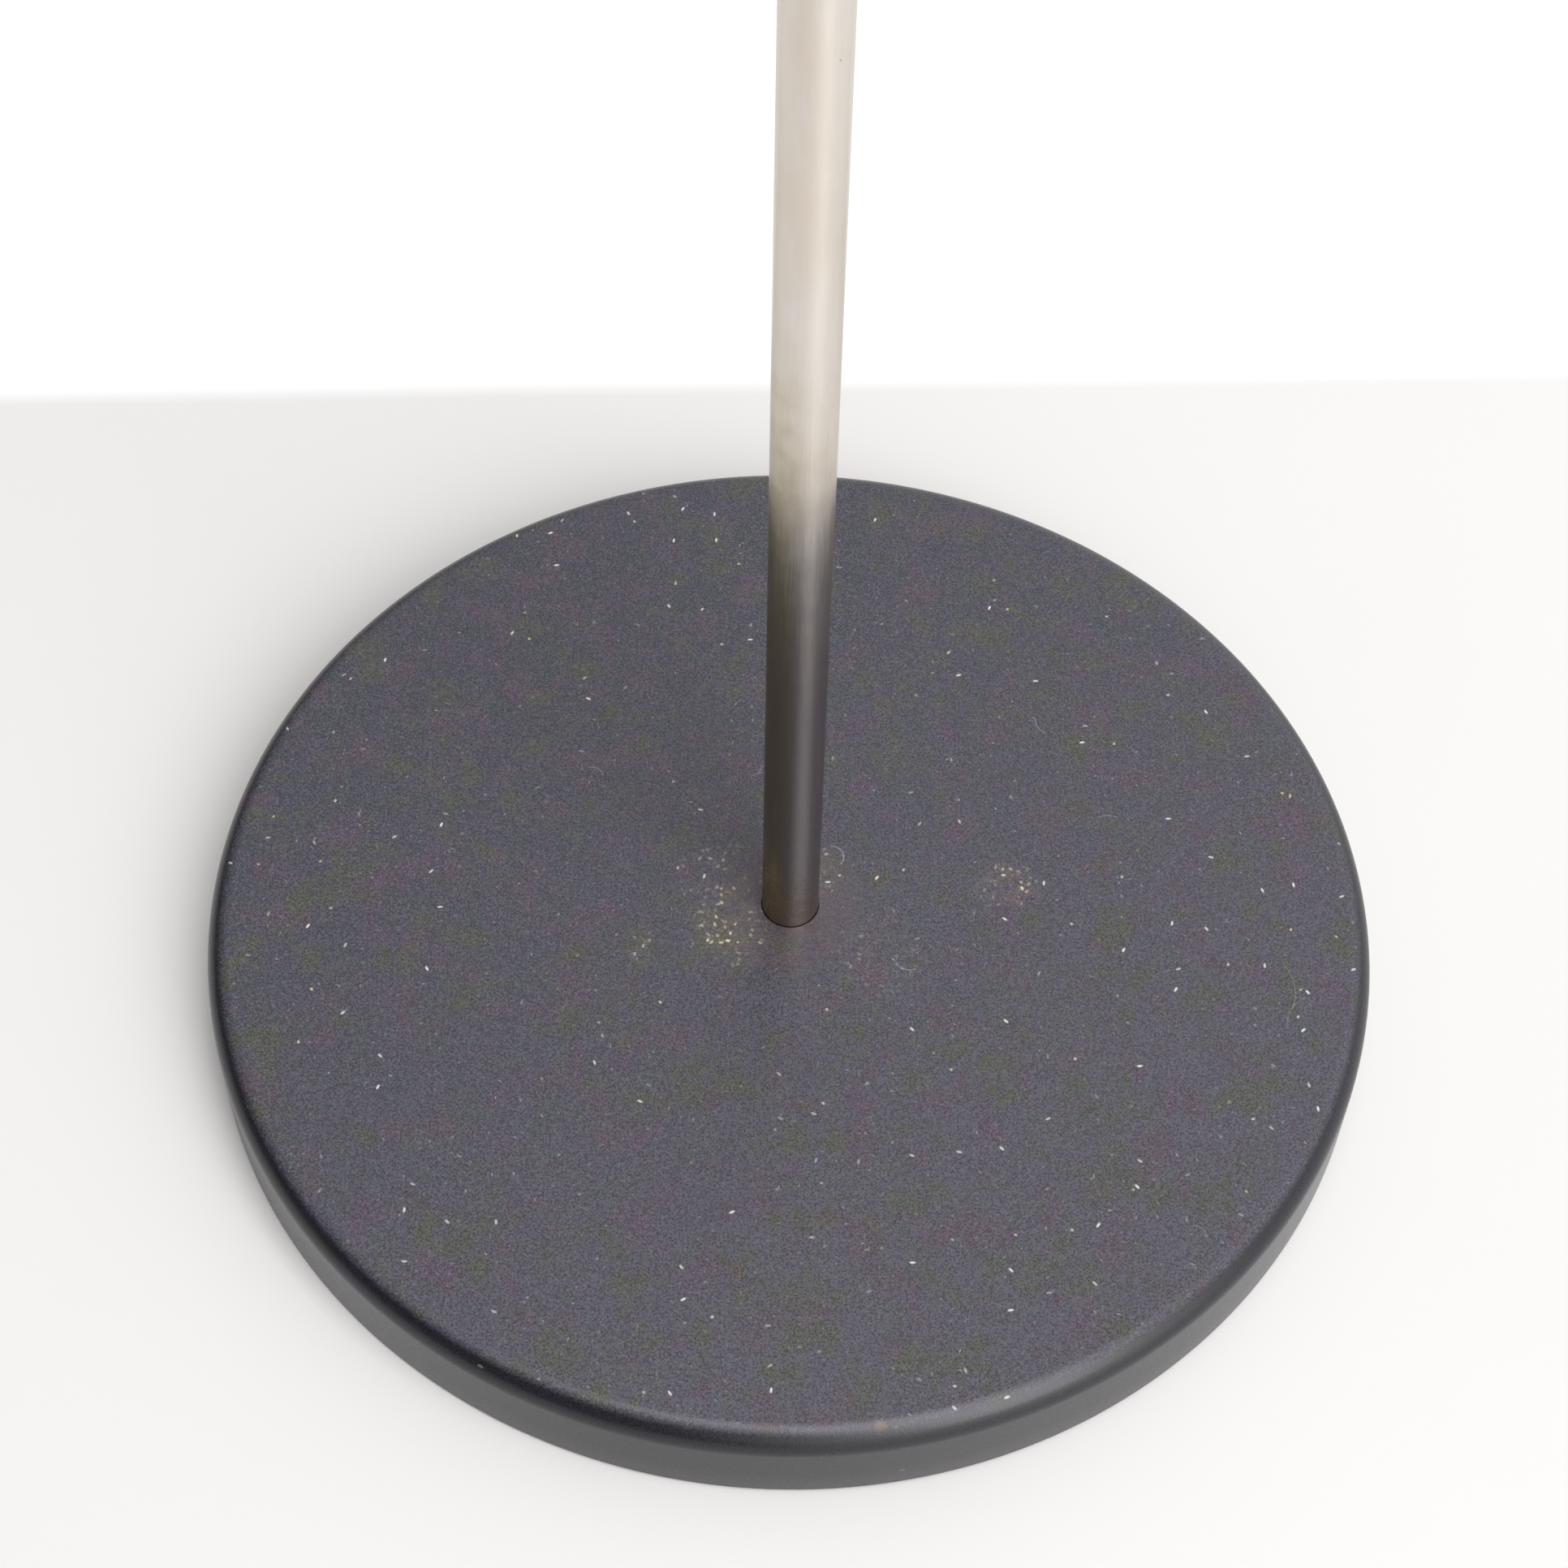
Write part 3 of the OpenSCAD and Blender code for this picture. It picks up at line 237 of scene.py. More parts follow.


def base_enamel():
    """Satin black enamel of the foot: clean on the wall, dusty and stained on the top; painted
    light makes the top lighter one way across and the wall lighter near the floor.
    """
    p = Paint("base_enamel", Specular_IOR_Level=0.52)
    # the first two tones are painted shade and painted light across the top; plum and olive
    # are mottling
    painted_shade_tone, light, plum, olive = ((0.048, 0.049, 0.071), (0.078, 0.077, 0.103),
                               (0.088, 0.054, 0.086), (0.066, 0.073, 0.043))
    pit, crest, halo = (0.018, 0.017, 0.024), (0.160, 0.155, 0.184), (0.108, 0.080, 0.084)
    stain, dirt, grit, rusty = ((0.17, 0.135, 0.090), (0.36, 0.32, 0.24),
                                (0.80, 0.74, 0.60), (0.24, 0.16, 0.11))
    up = p.span(p.part(p.facing, 2), 0.80, 0.995)
    mottle = p.noise(62.0, 4.0, 0.65)
    hue = p.noise(74.0, 4.0, 0.65, p.vector("ADD", p.place, (3.0, 1.0, 2.0)))
    grain = p.noise(1500.0, 2.0, 0.65)
    # painted light: the top is painted from a shaded tone to a lit tone across the way the
    # light falls
    painted_light_side = p.vector("DOT_PRODUCT", p.place, PAINTED_LIGHT_WAY)
    color = p.mix(p.span(painted_light_side, -0.18, 0.18), painted_shade_tone, light)
    color = p.mix(p.span(mottle, 0.45, 0.67, 0.0, 0.85), color, plum)
    color = p.mix(p.span(hue, 0.47, 0.69, 0.0, 0.85), color, olive)
    color = p.mix(p.span(grain, 0.36, 0.50, 0.65, 0.0), color, pit)
    color = p.mix(p.span(grain, 0.50, 0.66, 0.0, 0.65), color, crest)
    flat = p.vector("MULTIPLY", p.place, LEVEL)
    ragged = p.noise(700.0, 3.0, 0.75)
    ragged_wide = p.noise(150.0, 3.0, 0.7)
    foot = p.math("MULTIPLY", p.span(p.vector("LENGTH", flat), 0.034, 0.012),
                  p.span(ragged_wide, 0.30, 0.60, 0.15, 0.60))
    color = p.mix(foot, color, halo)
    crumbs = p.flecks(0.0030, 0.60, 0.0018, 0.0011, "2D")
    for x, y, reach, strength in GRIME:
        away = p.vector("DISTANCE", flat, (x, y, 0.0))
        inside = p.math("MULTIPLY", p.span(away, reach, reach * 0.2),
                        p.span(ragged_wide, 0.35, 0.60))
        color = p.mix(p.math("MULTIPLY", inside, 0.30 * strength), color, stain)
        speckle = p.math("MULTIPLY", inside, p.span(ragged, 0.54, 0.66, 0.0, 0.6 * strength))
        color = p.mix(speckle, color, dirt)
        crumb = p.math("MULTIPLY", p.math("MULTIPLY", inside, crumbs), strength)
        color = p.mix(crumb, color, grit)
    rust = p.span(p.vector("DISTANCE", flat, RUST_SPOT), 0.0026, 0.0010, 0.0, 0.6)
    color = p.mix(rust, color, rusty)
    for spacing, share, length, width, strength, tint in DUST:
        mark = p.flecks(spacing, share, length, width, "2D")
        color = p.mix(p.math("MULTIPLY", mark, strength), color, tint)
    for centre, radius, toward, opening, strength in FIBRES:
        fibre = p.arc(centre, radius, toward, opening, FIBRE_WIDTH)
        color = p.mix(p.math("MULTIPLY", fibre, strength), color, FIBRE_TONE)
    wall = p.mix(p.span(grain, 0.35, 0.70), (0.006, 0.005, 0.009), (0.015, 0.014, 0.020))
    # painted light: the wall is painted lighter towards its bottom edge, as light bounced from
    # the floor
    low = p.span(p.part(p.place, 2), 0.014, 0.001, 0.0, 0.7)
    wall = p.mix(low, wall, (0.050, 0.047, 0.052))
    scuffs = p.flecks(0.0100, 0.25, 0.0024, 0.0010)
    wall = p.mix(p.math("MULTIPLY", scuffs, 0.35), wall, (0.30, 0.29, 0.29))
    p.bump(grain, 0.00012, 0.35)
    p.bump(p.noise(150.0, 3.0, 0.6), 0.00012, 0.25)
    return p.done(p.mix(up, wall, color), p.span(grain, 0.3, 0.7, 0.25, 0.34))


def shade_enamel():
    """The heads' satin black enamel, with dust settled on whatever faces up."""
    p = Paint("shade_enamel")
    cloud = p.noise(60.0, 4.0, 0.6)
    grain = p.noise(1500.0, 2.0, 0.65)
    tone = p.mix(p.span(cloud, 0.35, 0.68), (0.028, 0.026, 0.032), (0.038, 0.036, 0.042))
    tone = p.mix(p.span(grain, 0.50, 0.66, 0.0, 0.5), tone, (0.085, 0.080, 0.092))
    settled = p.math("MULTIPLY", p.span(p.part(p.facing, 2), 0.15, 0.90, 0.0, 0.45),
                     p.span(p.noise(240.0, 4.0, 0.7), 0.35, 0.65, 0.4, 1.0))
    tone = p.mix(settled, tone, (0.125, 0.118, 0.122))
    for spacing, share, length in ((0.0060, 0.40, 0.0011), (0.0035, 0.35, 0.0006)):
        tone = p.mix(p.flecks(spacing, share, length, 0.6 * length), tone, (0.50, 0.48, 0.45))
    p.bump(grain, 0.00010, 0.3)
    p.bump(p.noise(180.0, 3.0), 0.00010, 0.25)
    return p.done(tone, p.span(cloud, 0.3, 0.7, 0.34, 0.44))


def satin_nickel(name, color, grime_and_painted_reflection=False):
    """Satin plated metal, brushed along the tube; a painted reflection of the dark base
    darkens its lowest 0.3 m, olive on the left, and grime patches stain and dull the very
    bottom.
    """
    p = Paint(name, Metallic=1.0, Specular_Tint=(0.80, 0.78, 0.75, 1.0))
    brush = p.noise(1.0, 4.0, 0.7, p.stretched((2200.0, 2200.0, 45.0)))
    cloud = p.noise(38.0, 4.0, 0.6, p.stretched((1.0, 1.0, 0.35)))
    dark = tuple(c * 0.86 for c in color)
    warm = (color[0] * 0.93, color[1] * 0.88, color[2] * 0.80)
    tone = p.mix(p.span(cloud, 0.35, 0.70), color, warm)
    tone = p.mix(p.span(brush, 0.40, 0.75, 0.0, 0.20), tone, dark)
    tone = p.mix(p.flecks(0.0060, 0.12, 0.0016, 0.0008), tone, (0.42, 0.37, 0.30))
    rough = p.span(brush, 0.3, 0.7, 0.18, 0.24)
    if grime_and_painted_reflection:
        height = p.part(p.place, 2)
        # painted reflection: the dark base mirrored in the tube is painted as a darker band
        # over its lowest 0.3 m, olive on its left side
        wander = p.math("ADD", height, p.span(p.noise(90.0, 3.0), 0.3, 0.7, -0.02, 0.02))
        left = p.span(p.part(p.place, 0), 0.003, -0.006)
        olive = p.math("MULTIPLY", p.span(wander, 0.310, 0.200, 0.0, 0.8), left)
        tone = p.mix(p.span(wander, 0.280, 0.140, 0.0, 0.80), tone, (0.450, 0.405, 0.400))
        tone = p.mix(olive, tone, (0.430, 0.360, 0.215))
        # grime: brown patches that stain and dull the lowest 0.1 m
        low = p.span(height, 0.115, 0.036)
        patch = p.span(p.math("MULTIPLY", p.noise(420.0, 4.0, 0.7), low), 0.34, 0.56, 0.0, 0.5)
        tone = p.mix(patch, tone, (0.30, 0.23, 0.15))
        rough = p.math("ADD", rough, p.math("MULTIPLY", patch, 0.25))
    p.bump(brush, 0.00002, 0.15)
    return p.done(tone, rough)


def simple_paint(name, color, shade, scale, rough, bump, stretch, **sockets):
    """A two-tone surface: cloudy colour, uneven gloss and a fine relief."""
    p = Paint(name, **sockets)
    place = p.stretched(stretch)
    cloud = p.noise(scale, 4.0, 0.6, place)
    fine = p.noise(scale * 9.0, 3.0, 0.6, place)
    tone = p.mix(p.span(cloud, 0.35, 0.68), color, shade)
    tone = p.mix(p.span(fine, 0.45, 0.75, 0.0, 0.4), tone, tuple(0.85 * c for c in shade))
    p.bump(fine, bump, 0.5)
    return p.done(tone, p.span(cloud, 0.3, 0.7, *rough))


def felt():
    """Pressed wool felt under the foot."""
    p = Paint("felt", Sheen_Weight=0.4, Sheen_Roughness=0.6)
    fibres = p.noise(1400.0, 5.0, 0.75, distortion=1.5)
    cloud = p.noise(60.0, 3.0)
    tone = p.mix(p.span(fibres, 0.35, 0.7), (0.018, 0.018, 0.020), (0.075, 0.074, 0.078))
    tone = p.mix(p.span(cloud, 0.4, 0.7, 0.0, 0.4), tone, (0.050, 0.046, 0.042))
    p.bump(fibres, 0.0005, 0.8)
    return p.done(tone, p.span(fibres, 0.3, 0.7, 0.85, 0.98))


def concrete():
    """Cast concrete of the hidden weight: sand, stones and pores, painted dark inside as
    painted shade.
    """
    p = Paint("concrete")
    cells = p.cells(210.0)
    stones, tint = cells["Distance"], cells["Color"]
    sand = p.noise(700.0, 4.0, 0.7)
    cloud = p.noise(25.0, 4.0, 0.6)
    tone = p.mix(p.span(cloud, 0.3, 0.7), (0.30, 0.29, 0.27), (0.42, 0.41, 0.38))
    tone = p.mix(p.math("MULTIPLY", p.span(stones, 0.35, 0.15), 0.5), tone,
                 p.mix(p.part(tint, 1), (0.20, 0.19, 0.18), (0.52, 0.50, 0.46)))
    tone = p.mix(p.span(sand, 0.45, 0.7, 0.0, 0.5), tone, (0.24, 0.23, 0.21))
    p.bump(sand, 0.0004, 0.6)
    # pores: a real relief, and painted shade where they are coloured dark inside
    pores_and_painted_shade = p.flecks(0.0050, 0.35, 0.0018, 0.0015)
    p.bump(p.math("SUBTRACT", 1.0, pores_and_painted_shade), 0.0006, 0.7)
    return p.done(p.mix(p.math("MULTIPLY", pores_and_painted_shade, 0.6), tone, (0.10, 0.10, 0.09)),
                  p.span(sand, 0.3, 0.7, 0.8, 0.95))


def opal_glass():
    """Opal bulb glass with a faint cloudiness and a few specks of dust."""
    p = Paint("opal_glass", Coat_Weight=0.6, Coat_Roughness=0.08, Subsurface_Weight=0.25,
              Subsurface_Scale=0.01, IOR=1.5)
    cloud = p.noise(30.0, 3.0)
    speck = p.flecks(0.0070, 0.15, 0.0009, 0.0006)
    tone = p.mix(p.span(cloud, 0.3, 0.7), (0.80, 0.78, 0.72), (0.74, 0.72, 0.66))
    tone = p.mix(p.math("MULTIPLY", speck, 0.35), tone, (0.45, 0.42, 0.36))
    p.bump(p.noise(400.0, 2.0), 0.00003, 0.3)
    return p.done(tone, p.span(cloud, 0.3, 0.7, 0.30, 0.38))


def make_materials():
    """Every material, by the key that the pieces ask for."""
    nickel = (0.75, 0.712, 0.670)
    even, metal = (1, 1, 1), {"Metallic": 1.0}
    made = {
        "base": base_enamel(),
        "pole": satin_nickel("satin_nickel_foot", nickel, grime_and_painted_reflection=True),
        "nickel": satin_nickel("satin_nickel", nickel),
        "felt": felt(),
        "concrete": concrete(),
        "glass": opal_glass(),
        "shade": shade_enamel(),
    }
    plain = {  # name, two tones, scale, roughness span, relief depth, stretch, other sockets
        "steel": ("zinc_steel", (0.56, 0.57, 0.58), (0.44, 0.45, 0.47), 120.0,
                  (0.30, 0.48), 0.00004, even, metal),
        "chrome": ("rod_chrome", (0.72, 0.72, 0.73), (0.62, 0.62, 0.64), 60.0,
                   (0.10, 0.20), 0.00001, (6, 6, 0.3), metal),
        "spring": ("spring_steel", (0.40, 0.40, 0.41), (0.25, 0.24, 0.24), 200.0,
                   (0.28, 0.45), 0.00003, even, metal),
        "brass": ("brass", (0.70, 0.50, 0.22), (0.52, 0.35, 0.15), 150.0,
                  (0.25, 0.42), 0.00003, even, metal),
        "cap": ("cap_metal", (0.66, 0.64, 0.60), (0.54, 0.52, 0.47), 180.0,
                (0.28, 0.42), 0.00003, even, metal),
        "plastic": ("switch_plastic", (0.020, 0.019, 0.021), (0.032, 0.030, 0.032), 140.0,
                    (0.32, 0.44), 0.00003, even, {}),
        "phenolic": ("phenolic", (0.022, 0.018, 0.016), (0.045, 0.030, 0.022), 90.0,
                     (0.24, 0.36), 0.00002, even, {}),
        "rubber": ("rubber_black", (0.020, 0.020, 0.021), (0.040, 0.040, 0.041), 110.0,
                   (0.62, 0.80), 0.00008, even, {}),
        "nylon": ("nylon_white", (0.74, 0.72, 0.66), (0.66, 0.63, 0.56), 80.0,
                  (0.38, 0.52), 0.00002, even,
                  {"Subsurface Weight": 0.15, "Subsurface Scale": 0.003}),
        "lining": ("shade_lining", (0.80, 0.785, 0.74), (0.76, 0.74, 0.69), 45.0,
                   (0.36, 0.50), 0.00004, even, {}),
    }
    for key, (name, color, shade, scale, rough, bump, stretch, sockets) in plain.items():
        made[key] = simple_paint(name, color, shade, scale, rough, bump, stretch, **sockets)
    return made


# ---- Meshes ----

def rounded(points, step=math.radians(7.5)):
    """Outline from (r, z, corner radius) points, with an arc at every rounded corner."""
    out = []
    count = len(points)
    for i, (r, z, corner) in enumerate(points):
        here = Vector((r, z))
        if corner <= 0:
            out.append(here)
            continue
        before = (Vector(points[i - 1][:2]) - here).normalized()
        after = (Vector(points[(i + 1) % count][:2]) - here).normalized()
        half = before.angle(after) / 2
        reach = corner / math.tan(half)
        centre = here + (before + after).normalized() * (corner / math.sin(half))
        start, end = here + before * reach - centre, here + after * reach - centre
        turn = math.pi - 2 * half
        sign = 1 if start.x * end.y - start.y * end.x > 0 else -1
        parts = max(2, math.ceil(turn / step))
        for k in range(parts + 1):
            a = sign * turn * k / parts
            out.append(centre + Vector((start.x * math.cos(a) - start.y * math.sin(a),
                                        start.x * math.sin(a) + start.y * math.cos(a))))
    return out


def add_mesh(name, points, faces, materials, sharp=35.0):
    """New object in the scene, welded, with its normals outward and its faces smoothed."""
    mesh = bpy.data.meshes.new(name)
    mesh.from_pydata(points, [], faces)
    work = bmesh.new()
    work.from_mesh(mesh)
    bmesh.ops.remove_doubles(work, verts=work.verts, dist=1e-6)
    bmesh.ops.recalc_face_normals(work, faces=work.faces)
    work.to_mesh(mesh)
    work.free()
    for material in materials:
        mesh.materials.append(material)
    piece = bpy.data.objects.new(name, mesh)
    bpy.context.scene.collection.objects.link(piece)
    soften(piece, sharp)
    return piece


def soften(piece, sharp=35.0):
    """Smooth shading that keeps the real edges and leaves flat faces flat."""
    mesh = piece.data
    mesh.polygons.foreach_set("use_smooth", [True] * len(mesh.polygons))
    mesh.set_sharp_from_angle(angle=math.radians(sharp))
    weighted = piece.modifiers.new("weighted", "WEIGHTED_NORMAL")
    weighted.keep_sharp = True


def lathe(name, outline, materials, steps=96, place=Matrix.Identity(4)):
    """Turns a closed outline of (r, z) millimetres about Z; it may touch the axis."""
    points, faces = [], []
    count = len(outline)
    for r, z in outline:
        for k in range(steps):
            a = 2 * math.pi * k / steps
            points.append(place @ Vector((r * math.cos(a) * MM, r * math.sin(a) * MM, z * MM)))
    for i in range(count):
        j = (i + 1) % count
        if outline[i][0] < 1e-6 and outline[j][0] < 1e-6:
            continue
        for k in range(steps):
            n = (k + 1) % steps
            faces.append((i * steps + k, i * steps + n, j * steps + n, j * steps + k))
    return add_mesh(name, points, faces, materials)


def dress(piece, body, slot, *nodes):
    """Puts a piece on its body and hides the solids that it replaces; the slot is not used."""
    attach(piece, body)
    if nodes:
        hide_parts(*nodes)
    return piece


def head_place(i):
    """From a head's own axis, drawn along +Z from its tilting pin, to the row frame."""
    return (Matrix.Translation((0, 0, HEAD_Z[i] * MM))
            @ Matrix.Rotation(math.radians(HEAD_TURN[i]), 4, "Z")
            @ Matrix.Translation((PIVOT_R * MM, 0, 0))
            @ Matrix.Rotation(-math.radians(HEAD_TILT[i]), 4, "Y")
            @ Matrix.Rotation(math.radians(90), 4, "Y"))


# ---- Pieces ----

def build_foot(m):
    """Pressed shell with a rolled corner and a snug hole, and the felt disc under it."""
    wall = BASE_R - SHEET
    under = BASE_TOP - SHEET
    hole = TUBE_R + TUBE_SLIP
    shell = rounded([
        (wall, RIM_LIFT, 0.5), (BASE_R, RIM_LIFT, 0.7), (BASE_R, BASE_TOP, BASE_CORNER),
        (hole, BASE_TOP, 0.25), (hole, under, 0.2),
        (wall, under, BASE_CORNER - SHEET)], math.radians(4))
    dress(lathe("foot_shell", shell, [m["base"]], 256), "pole", "black_enamel", "base_shell")
    pad_r = wall - FELT_INSET
    pad = rounded([(0, 0, 0), (pad_r, 0, 0.5), (pad_r, FELT_H, 0.5), (0, FELT_H, 0)])
    dress(lathe("foot_felt", pad, [m["felt"]], 160), "pole", "felt", "felt_pad")


def build_tubes(m):
    """The pole's three tube sections, with the edges of their ends broken."""
    for k, node in enumerate(("lower_tube", "middle_tube", "upper_tube")):
        low = POLE_Z + k * (SECTION + RING_H)
        outline = rounded([(TUBE_IN, low, 0.2), (TUBE_R, low, 0.3),
                           (TUBE_R, low + SECTION, 0.3), (TUBE_IN, low + SECTION, 0.2)])
        dress(lathe("pole_" + node, outline, [m["pole"]], 96), "pole", "satin_nickel", node)


def slot_plugs(place):
    """Points and faces of the rounded plugs that cut a shade's ring of cooling slots."""
    ring = [(SLOT_HALF_W * math.sin(a) * end,
             SLOT_X + end * (SLOT_HALF_L + SLOT_HALF_W * math.cos(a)))
            for end in (1, -1) for a in (math.radians(b) for b in range(-90, 91, 15))]
    count = len(ring)
    skin = [tuple(range(count)), tuple(range(2 * count - 1, count - 1, -1))]
    skin += [(a, a + count, (a + 1) % count + count, (a + 1) % count) for a in range(count)]
    nearest, furthest = 24.0, 60.0
    points, faces = [], []
    for k in range(SLOTS):
        turn = Matrix.Rotation(2 * math.pi * (k + 0.5) / SLOTS, 4, "Z")
        faces += [tuple(a + len(points) for a in face) for face in skin]
        points += [place @ turn @ Vector((r * MM, w * MM, x * MM))
                   for r in (nearest, furthest) for w, x in ring]
    return points, faces


def build_shade(i, m):
    """Spun shade with a rolled bead and cooling slots, black outside and white inside."""
    start = math.asin(NECK_R / MOUTH_R)
    depth = (MOUTH_X - SHADE_BACK) / math.cos(start)
    steps, hole = 40, 19.4
    inner_end = 162.5  # the lining stops where the bead begins

    def curve(inset):
        angles = (start + (math.pi / 2 - start) * k / steps for k in range(steps + 1))
        return [((MOUTH_R - inset) * math.sin(a), MOUTH_X - (depth - inset) * math.cos(a))
                for a in angles]

    back_inside = SHADE_BACK + SHADE_T
    bead = [(BEAD_R + BEAD_WIRE * math.cos(a), BEAD_X + BEAD_WIRE * math.sin(a))
            for a in (math.radians(b) for b in range(-105, 181, 15))]
    outer = [(r, x) for r, x in curve(0.0) if x < bead[0][1] - 0.2]
    inner = [(r, max(x, back_inside)) for r, x in reversed(curve(SHADE_T))]
    inner = [(r, x) for r, x in inner if x < inner_end]
    outline = [(hole, SHADE_BACK)] + outer + bead + inner + [(hole, back_inside)]
    place = head_place(i)
    shade = lathe(f"shade_{i + 1}_spun", outline, [m["shade"], m["lining"]], 120, place)
    cutter = add_mesh("slot_cutter", *slot_plugs(place), [m["shade"]])
    cutter.modifiers.clear()
    shade.modifiers.clear()
    cut = shade.modifiers.new("slots", "BOOLEAN")
    cut.operation, cut.solver, cut.object = "DIFFERENCE", "EXACT", cutter
    graph = bpy.context.evaluated_depsgraph_get()
    cut_mesh = bpy.data.meshes.new_from_object(shade.evaluated_get(graph))
    shade.modifiers.clear()
    shade.data = cut_mesh
    bpy.data.objects.remove(cutter)
    to_head = place.inverted()
    for face in cut_mesh.polygons:
        at = to_head @ face.center
        out = to_head.to_3x3() @ face.normal
        radial = Vector((at.x, at.y, 0)).normalized()
        x = at.z / MM
        inside = out.dot(radial) < -0.02 and x < inner_end - 0.1
        on_back = abs(x - back_inside) < 0.5 and out.z > 0.5
        face.material_index = 1 if inside or on_back else 0
    soften(shade, 40.0)
    dress(shade, f"head_{i + 1}", "shade_enamel", f"shade_{i + 1}")


def build_bulb(i, m):
    """Round opal bulb: straight neck, a swelling shoulder and a ball."""
    start, straight, ball_x, ball_r, neck = 59.0, 16.0, 126.0, 25.0, 12.5
    neck_steps, ball_steps = 20, 40
    leave = math.radians(135)  # where the shoulder meets the ball
    meet = (ball_r * math.sin(leave), ball_x + ball_r * math.cos(leave))
    handle = (neck, meet[1] - (meet[0] - neck) * abs(math.tan(leave)))
    neck_x = start + straight
    control = [(neck, neck_x), (neck, (neck_x + handle[1]) / 2), handle, meet]
    outline = [(0.0, start), (neck, start)]
    for k in range(neck_steps):
        t = k / neck_steps
        weights = ((1 - t) ** 3, 3 * (1 - t) ** 2 * t, 3 * (1 - t) * t * t, t ** 3)
        outline.append(tuple(sum(w * c[axis] for w, c in zip(weights, control))
                             for axis in (0, 1)))
    for k in range(ball_steps + 1):
        a = leave * (1 - k / ball_steps)
        outline.append((ball_r * math.sin(a), ball_x + ball_r * math.cos(a)))
    outline[-1] = (0.0, ball_x + ball_r)
    bulb = lathe(f"bulb_{i + 1}_glass", outline, [m["glass"]], 80, head_place(i))
    dress(bulb, f"head_{i + 1}", "bulb_glass", f"bulb_{i + 1}")


def build_spring(m):
    """Round wire coiled on a closing pitch, with its ends turned onto the seats."""
    turns, close, lead, steps_per_turn, sides = SPRING_TURNS, 0.5, 4.0, 28, 10
    path = []
    steps = turns * steps_per_turn
    for k in range(steps + 1):
        t = k / steps
        rise = t - close * math.sin(2 * math.pi * t) / (2 * math.pi)
        a = 2 * math.pi * turns * t
        path.append(Vector((SPRING_R * math.cos(a), SPRING_R * math.sin(a),
                            SEAT_TOP + lead + (SPRING_L - 2 * lead) * rise)))

    def end(side):
        """The wire's end, bent from the coil's last point to stand on its seat."""
        bend_r, bend_steps, tail = 2.0, 6, 2.0
        along, up = Vector((0, 1, 0)), Vector((0, 0, 1))
        origin = path[0] if side < 0 else path[-1]
        bend = [origin + bend_r * side * (math.sin(b) * along + (1 - math.cos(b)) * up)
                for b in (math.radians(90 * s / bend_steps) for s in range(1, bend_steps + 1))]
        return bend + [bend[-1] + Vector((0, 0, tail * side))]

    line = list(reversed(end(-1))) + path + end(1)
    points, faces = [], []
    normal = Vector((1, 0, 0))
    for k, here in enumerate(line):
        tangent = (line[min(k + 1, len(line) - 1)] - line[max(k - 1, 0)]).normalized()
        normal = (normal - tangent * normal.dot(tangent)).normalized()
        other = tangent.cross(normal)
        for s in range(sides):
            a = 2 * math.pi * s / sides
            points.append((here + SPRING_WIRE / 2 * (math.cos(a) * normal
                                                     + math.sin(a) * other)) * MM)
    last = len(line) - 1
    for k in range(last):
        for s in range(sides):
            n = (s + 1) % sides
            faces.append((k * sides + s, k * sides + n, (k + 1) * sides + n,
                          (k + 1) * sides + s))
    faces += [tuple(range(sides)), tuple(last * sides + s for s in range(sides))]
    coil = add_mesh("spring_coil", points, faces, [m["spring"]])
    dress(coil, "slider", "spring_steel", "tension_spring")
    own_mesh(coil)


def build_dish(m):
    """Spun ceiling dish with its boss, and the rubber disc that presses on the ceiling."""
    boss_r, boss_h, rod_r, rod_h, flare_r, sheet = 11.0, 8.0, 4.0, 7.0, 28.6, 1.5
    bottom, inside, top = DISH_Z - boss_h, DISH_Z + sheet, DISH_Z + DISH_H
    outline = rounded([
        (0, bottom + rod_h, 0), (rod_r, bottom + rod_h, 0), (rod_r, bottom, 0.3),
        (boss_r, bottom, 0.8), (boss_r, DISH_Z, 0.8), (flare_r, DISH_Z, 4.0),
        (DISH_R, top, 0.7), (DISH_R - sheet, top, 0.5), (flare_r - 1.0, inside, 3.0),
        (0, inside, 0)])
    dress(lathe("ceiling_dish", outline, [m["nickel"]], 128), "plunger", "satin_nickel",
          "ceiling_cup")
    plug_r, pad_r, pad_h, ring_r, dip = 20.0, 32.1, 14.0, 24.9, 1.0
    low = PAD_TOP - pad_h
    pad = rounded([
        (0, inside, 0), (plug_r, inside, 0.4), (plug_r, low, 0),
        (pad_r, low, 2.0), (pad_r, PAD_TOP, 2.0), (ring_r, PAD_TOP, 0.4),
        (ring_r - 0.5, PAD_TOP - dip, 0.3), (0, PAD_TOP - dip, 0)])
    dress(lathe("ceiling_rubber", pad, [m["rubber"]], 128), "plunger", "rubber_black",
          "ceiling_pad")


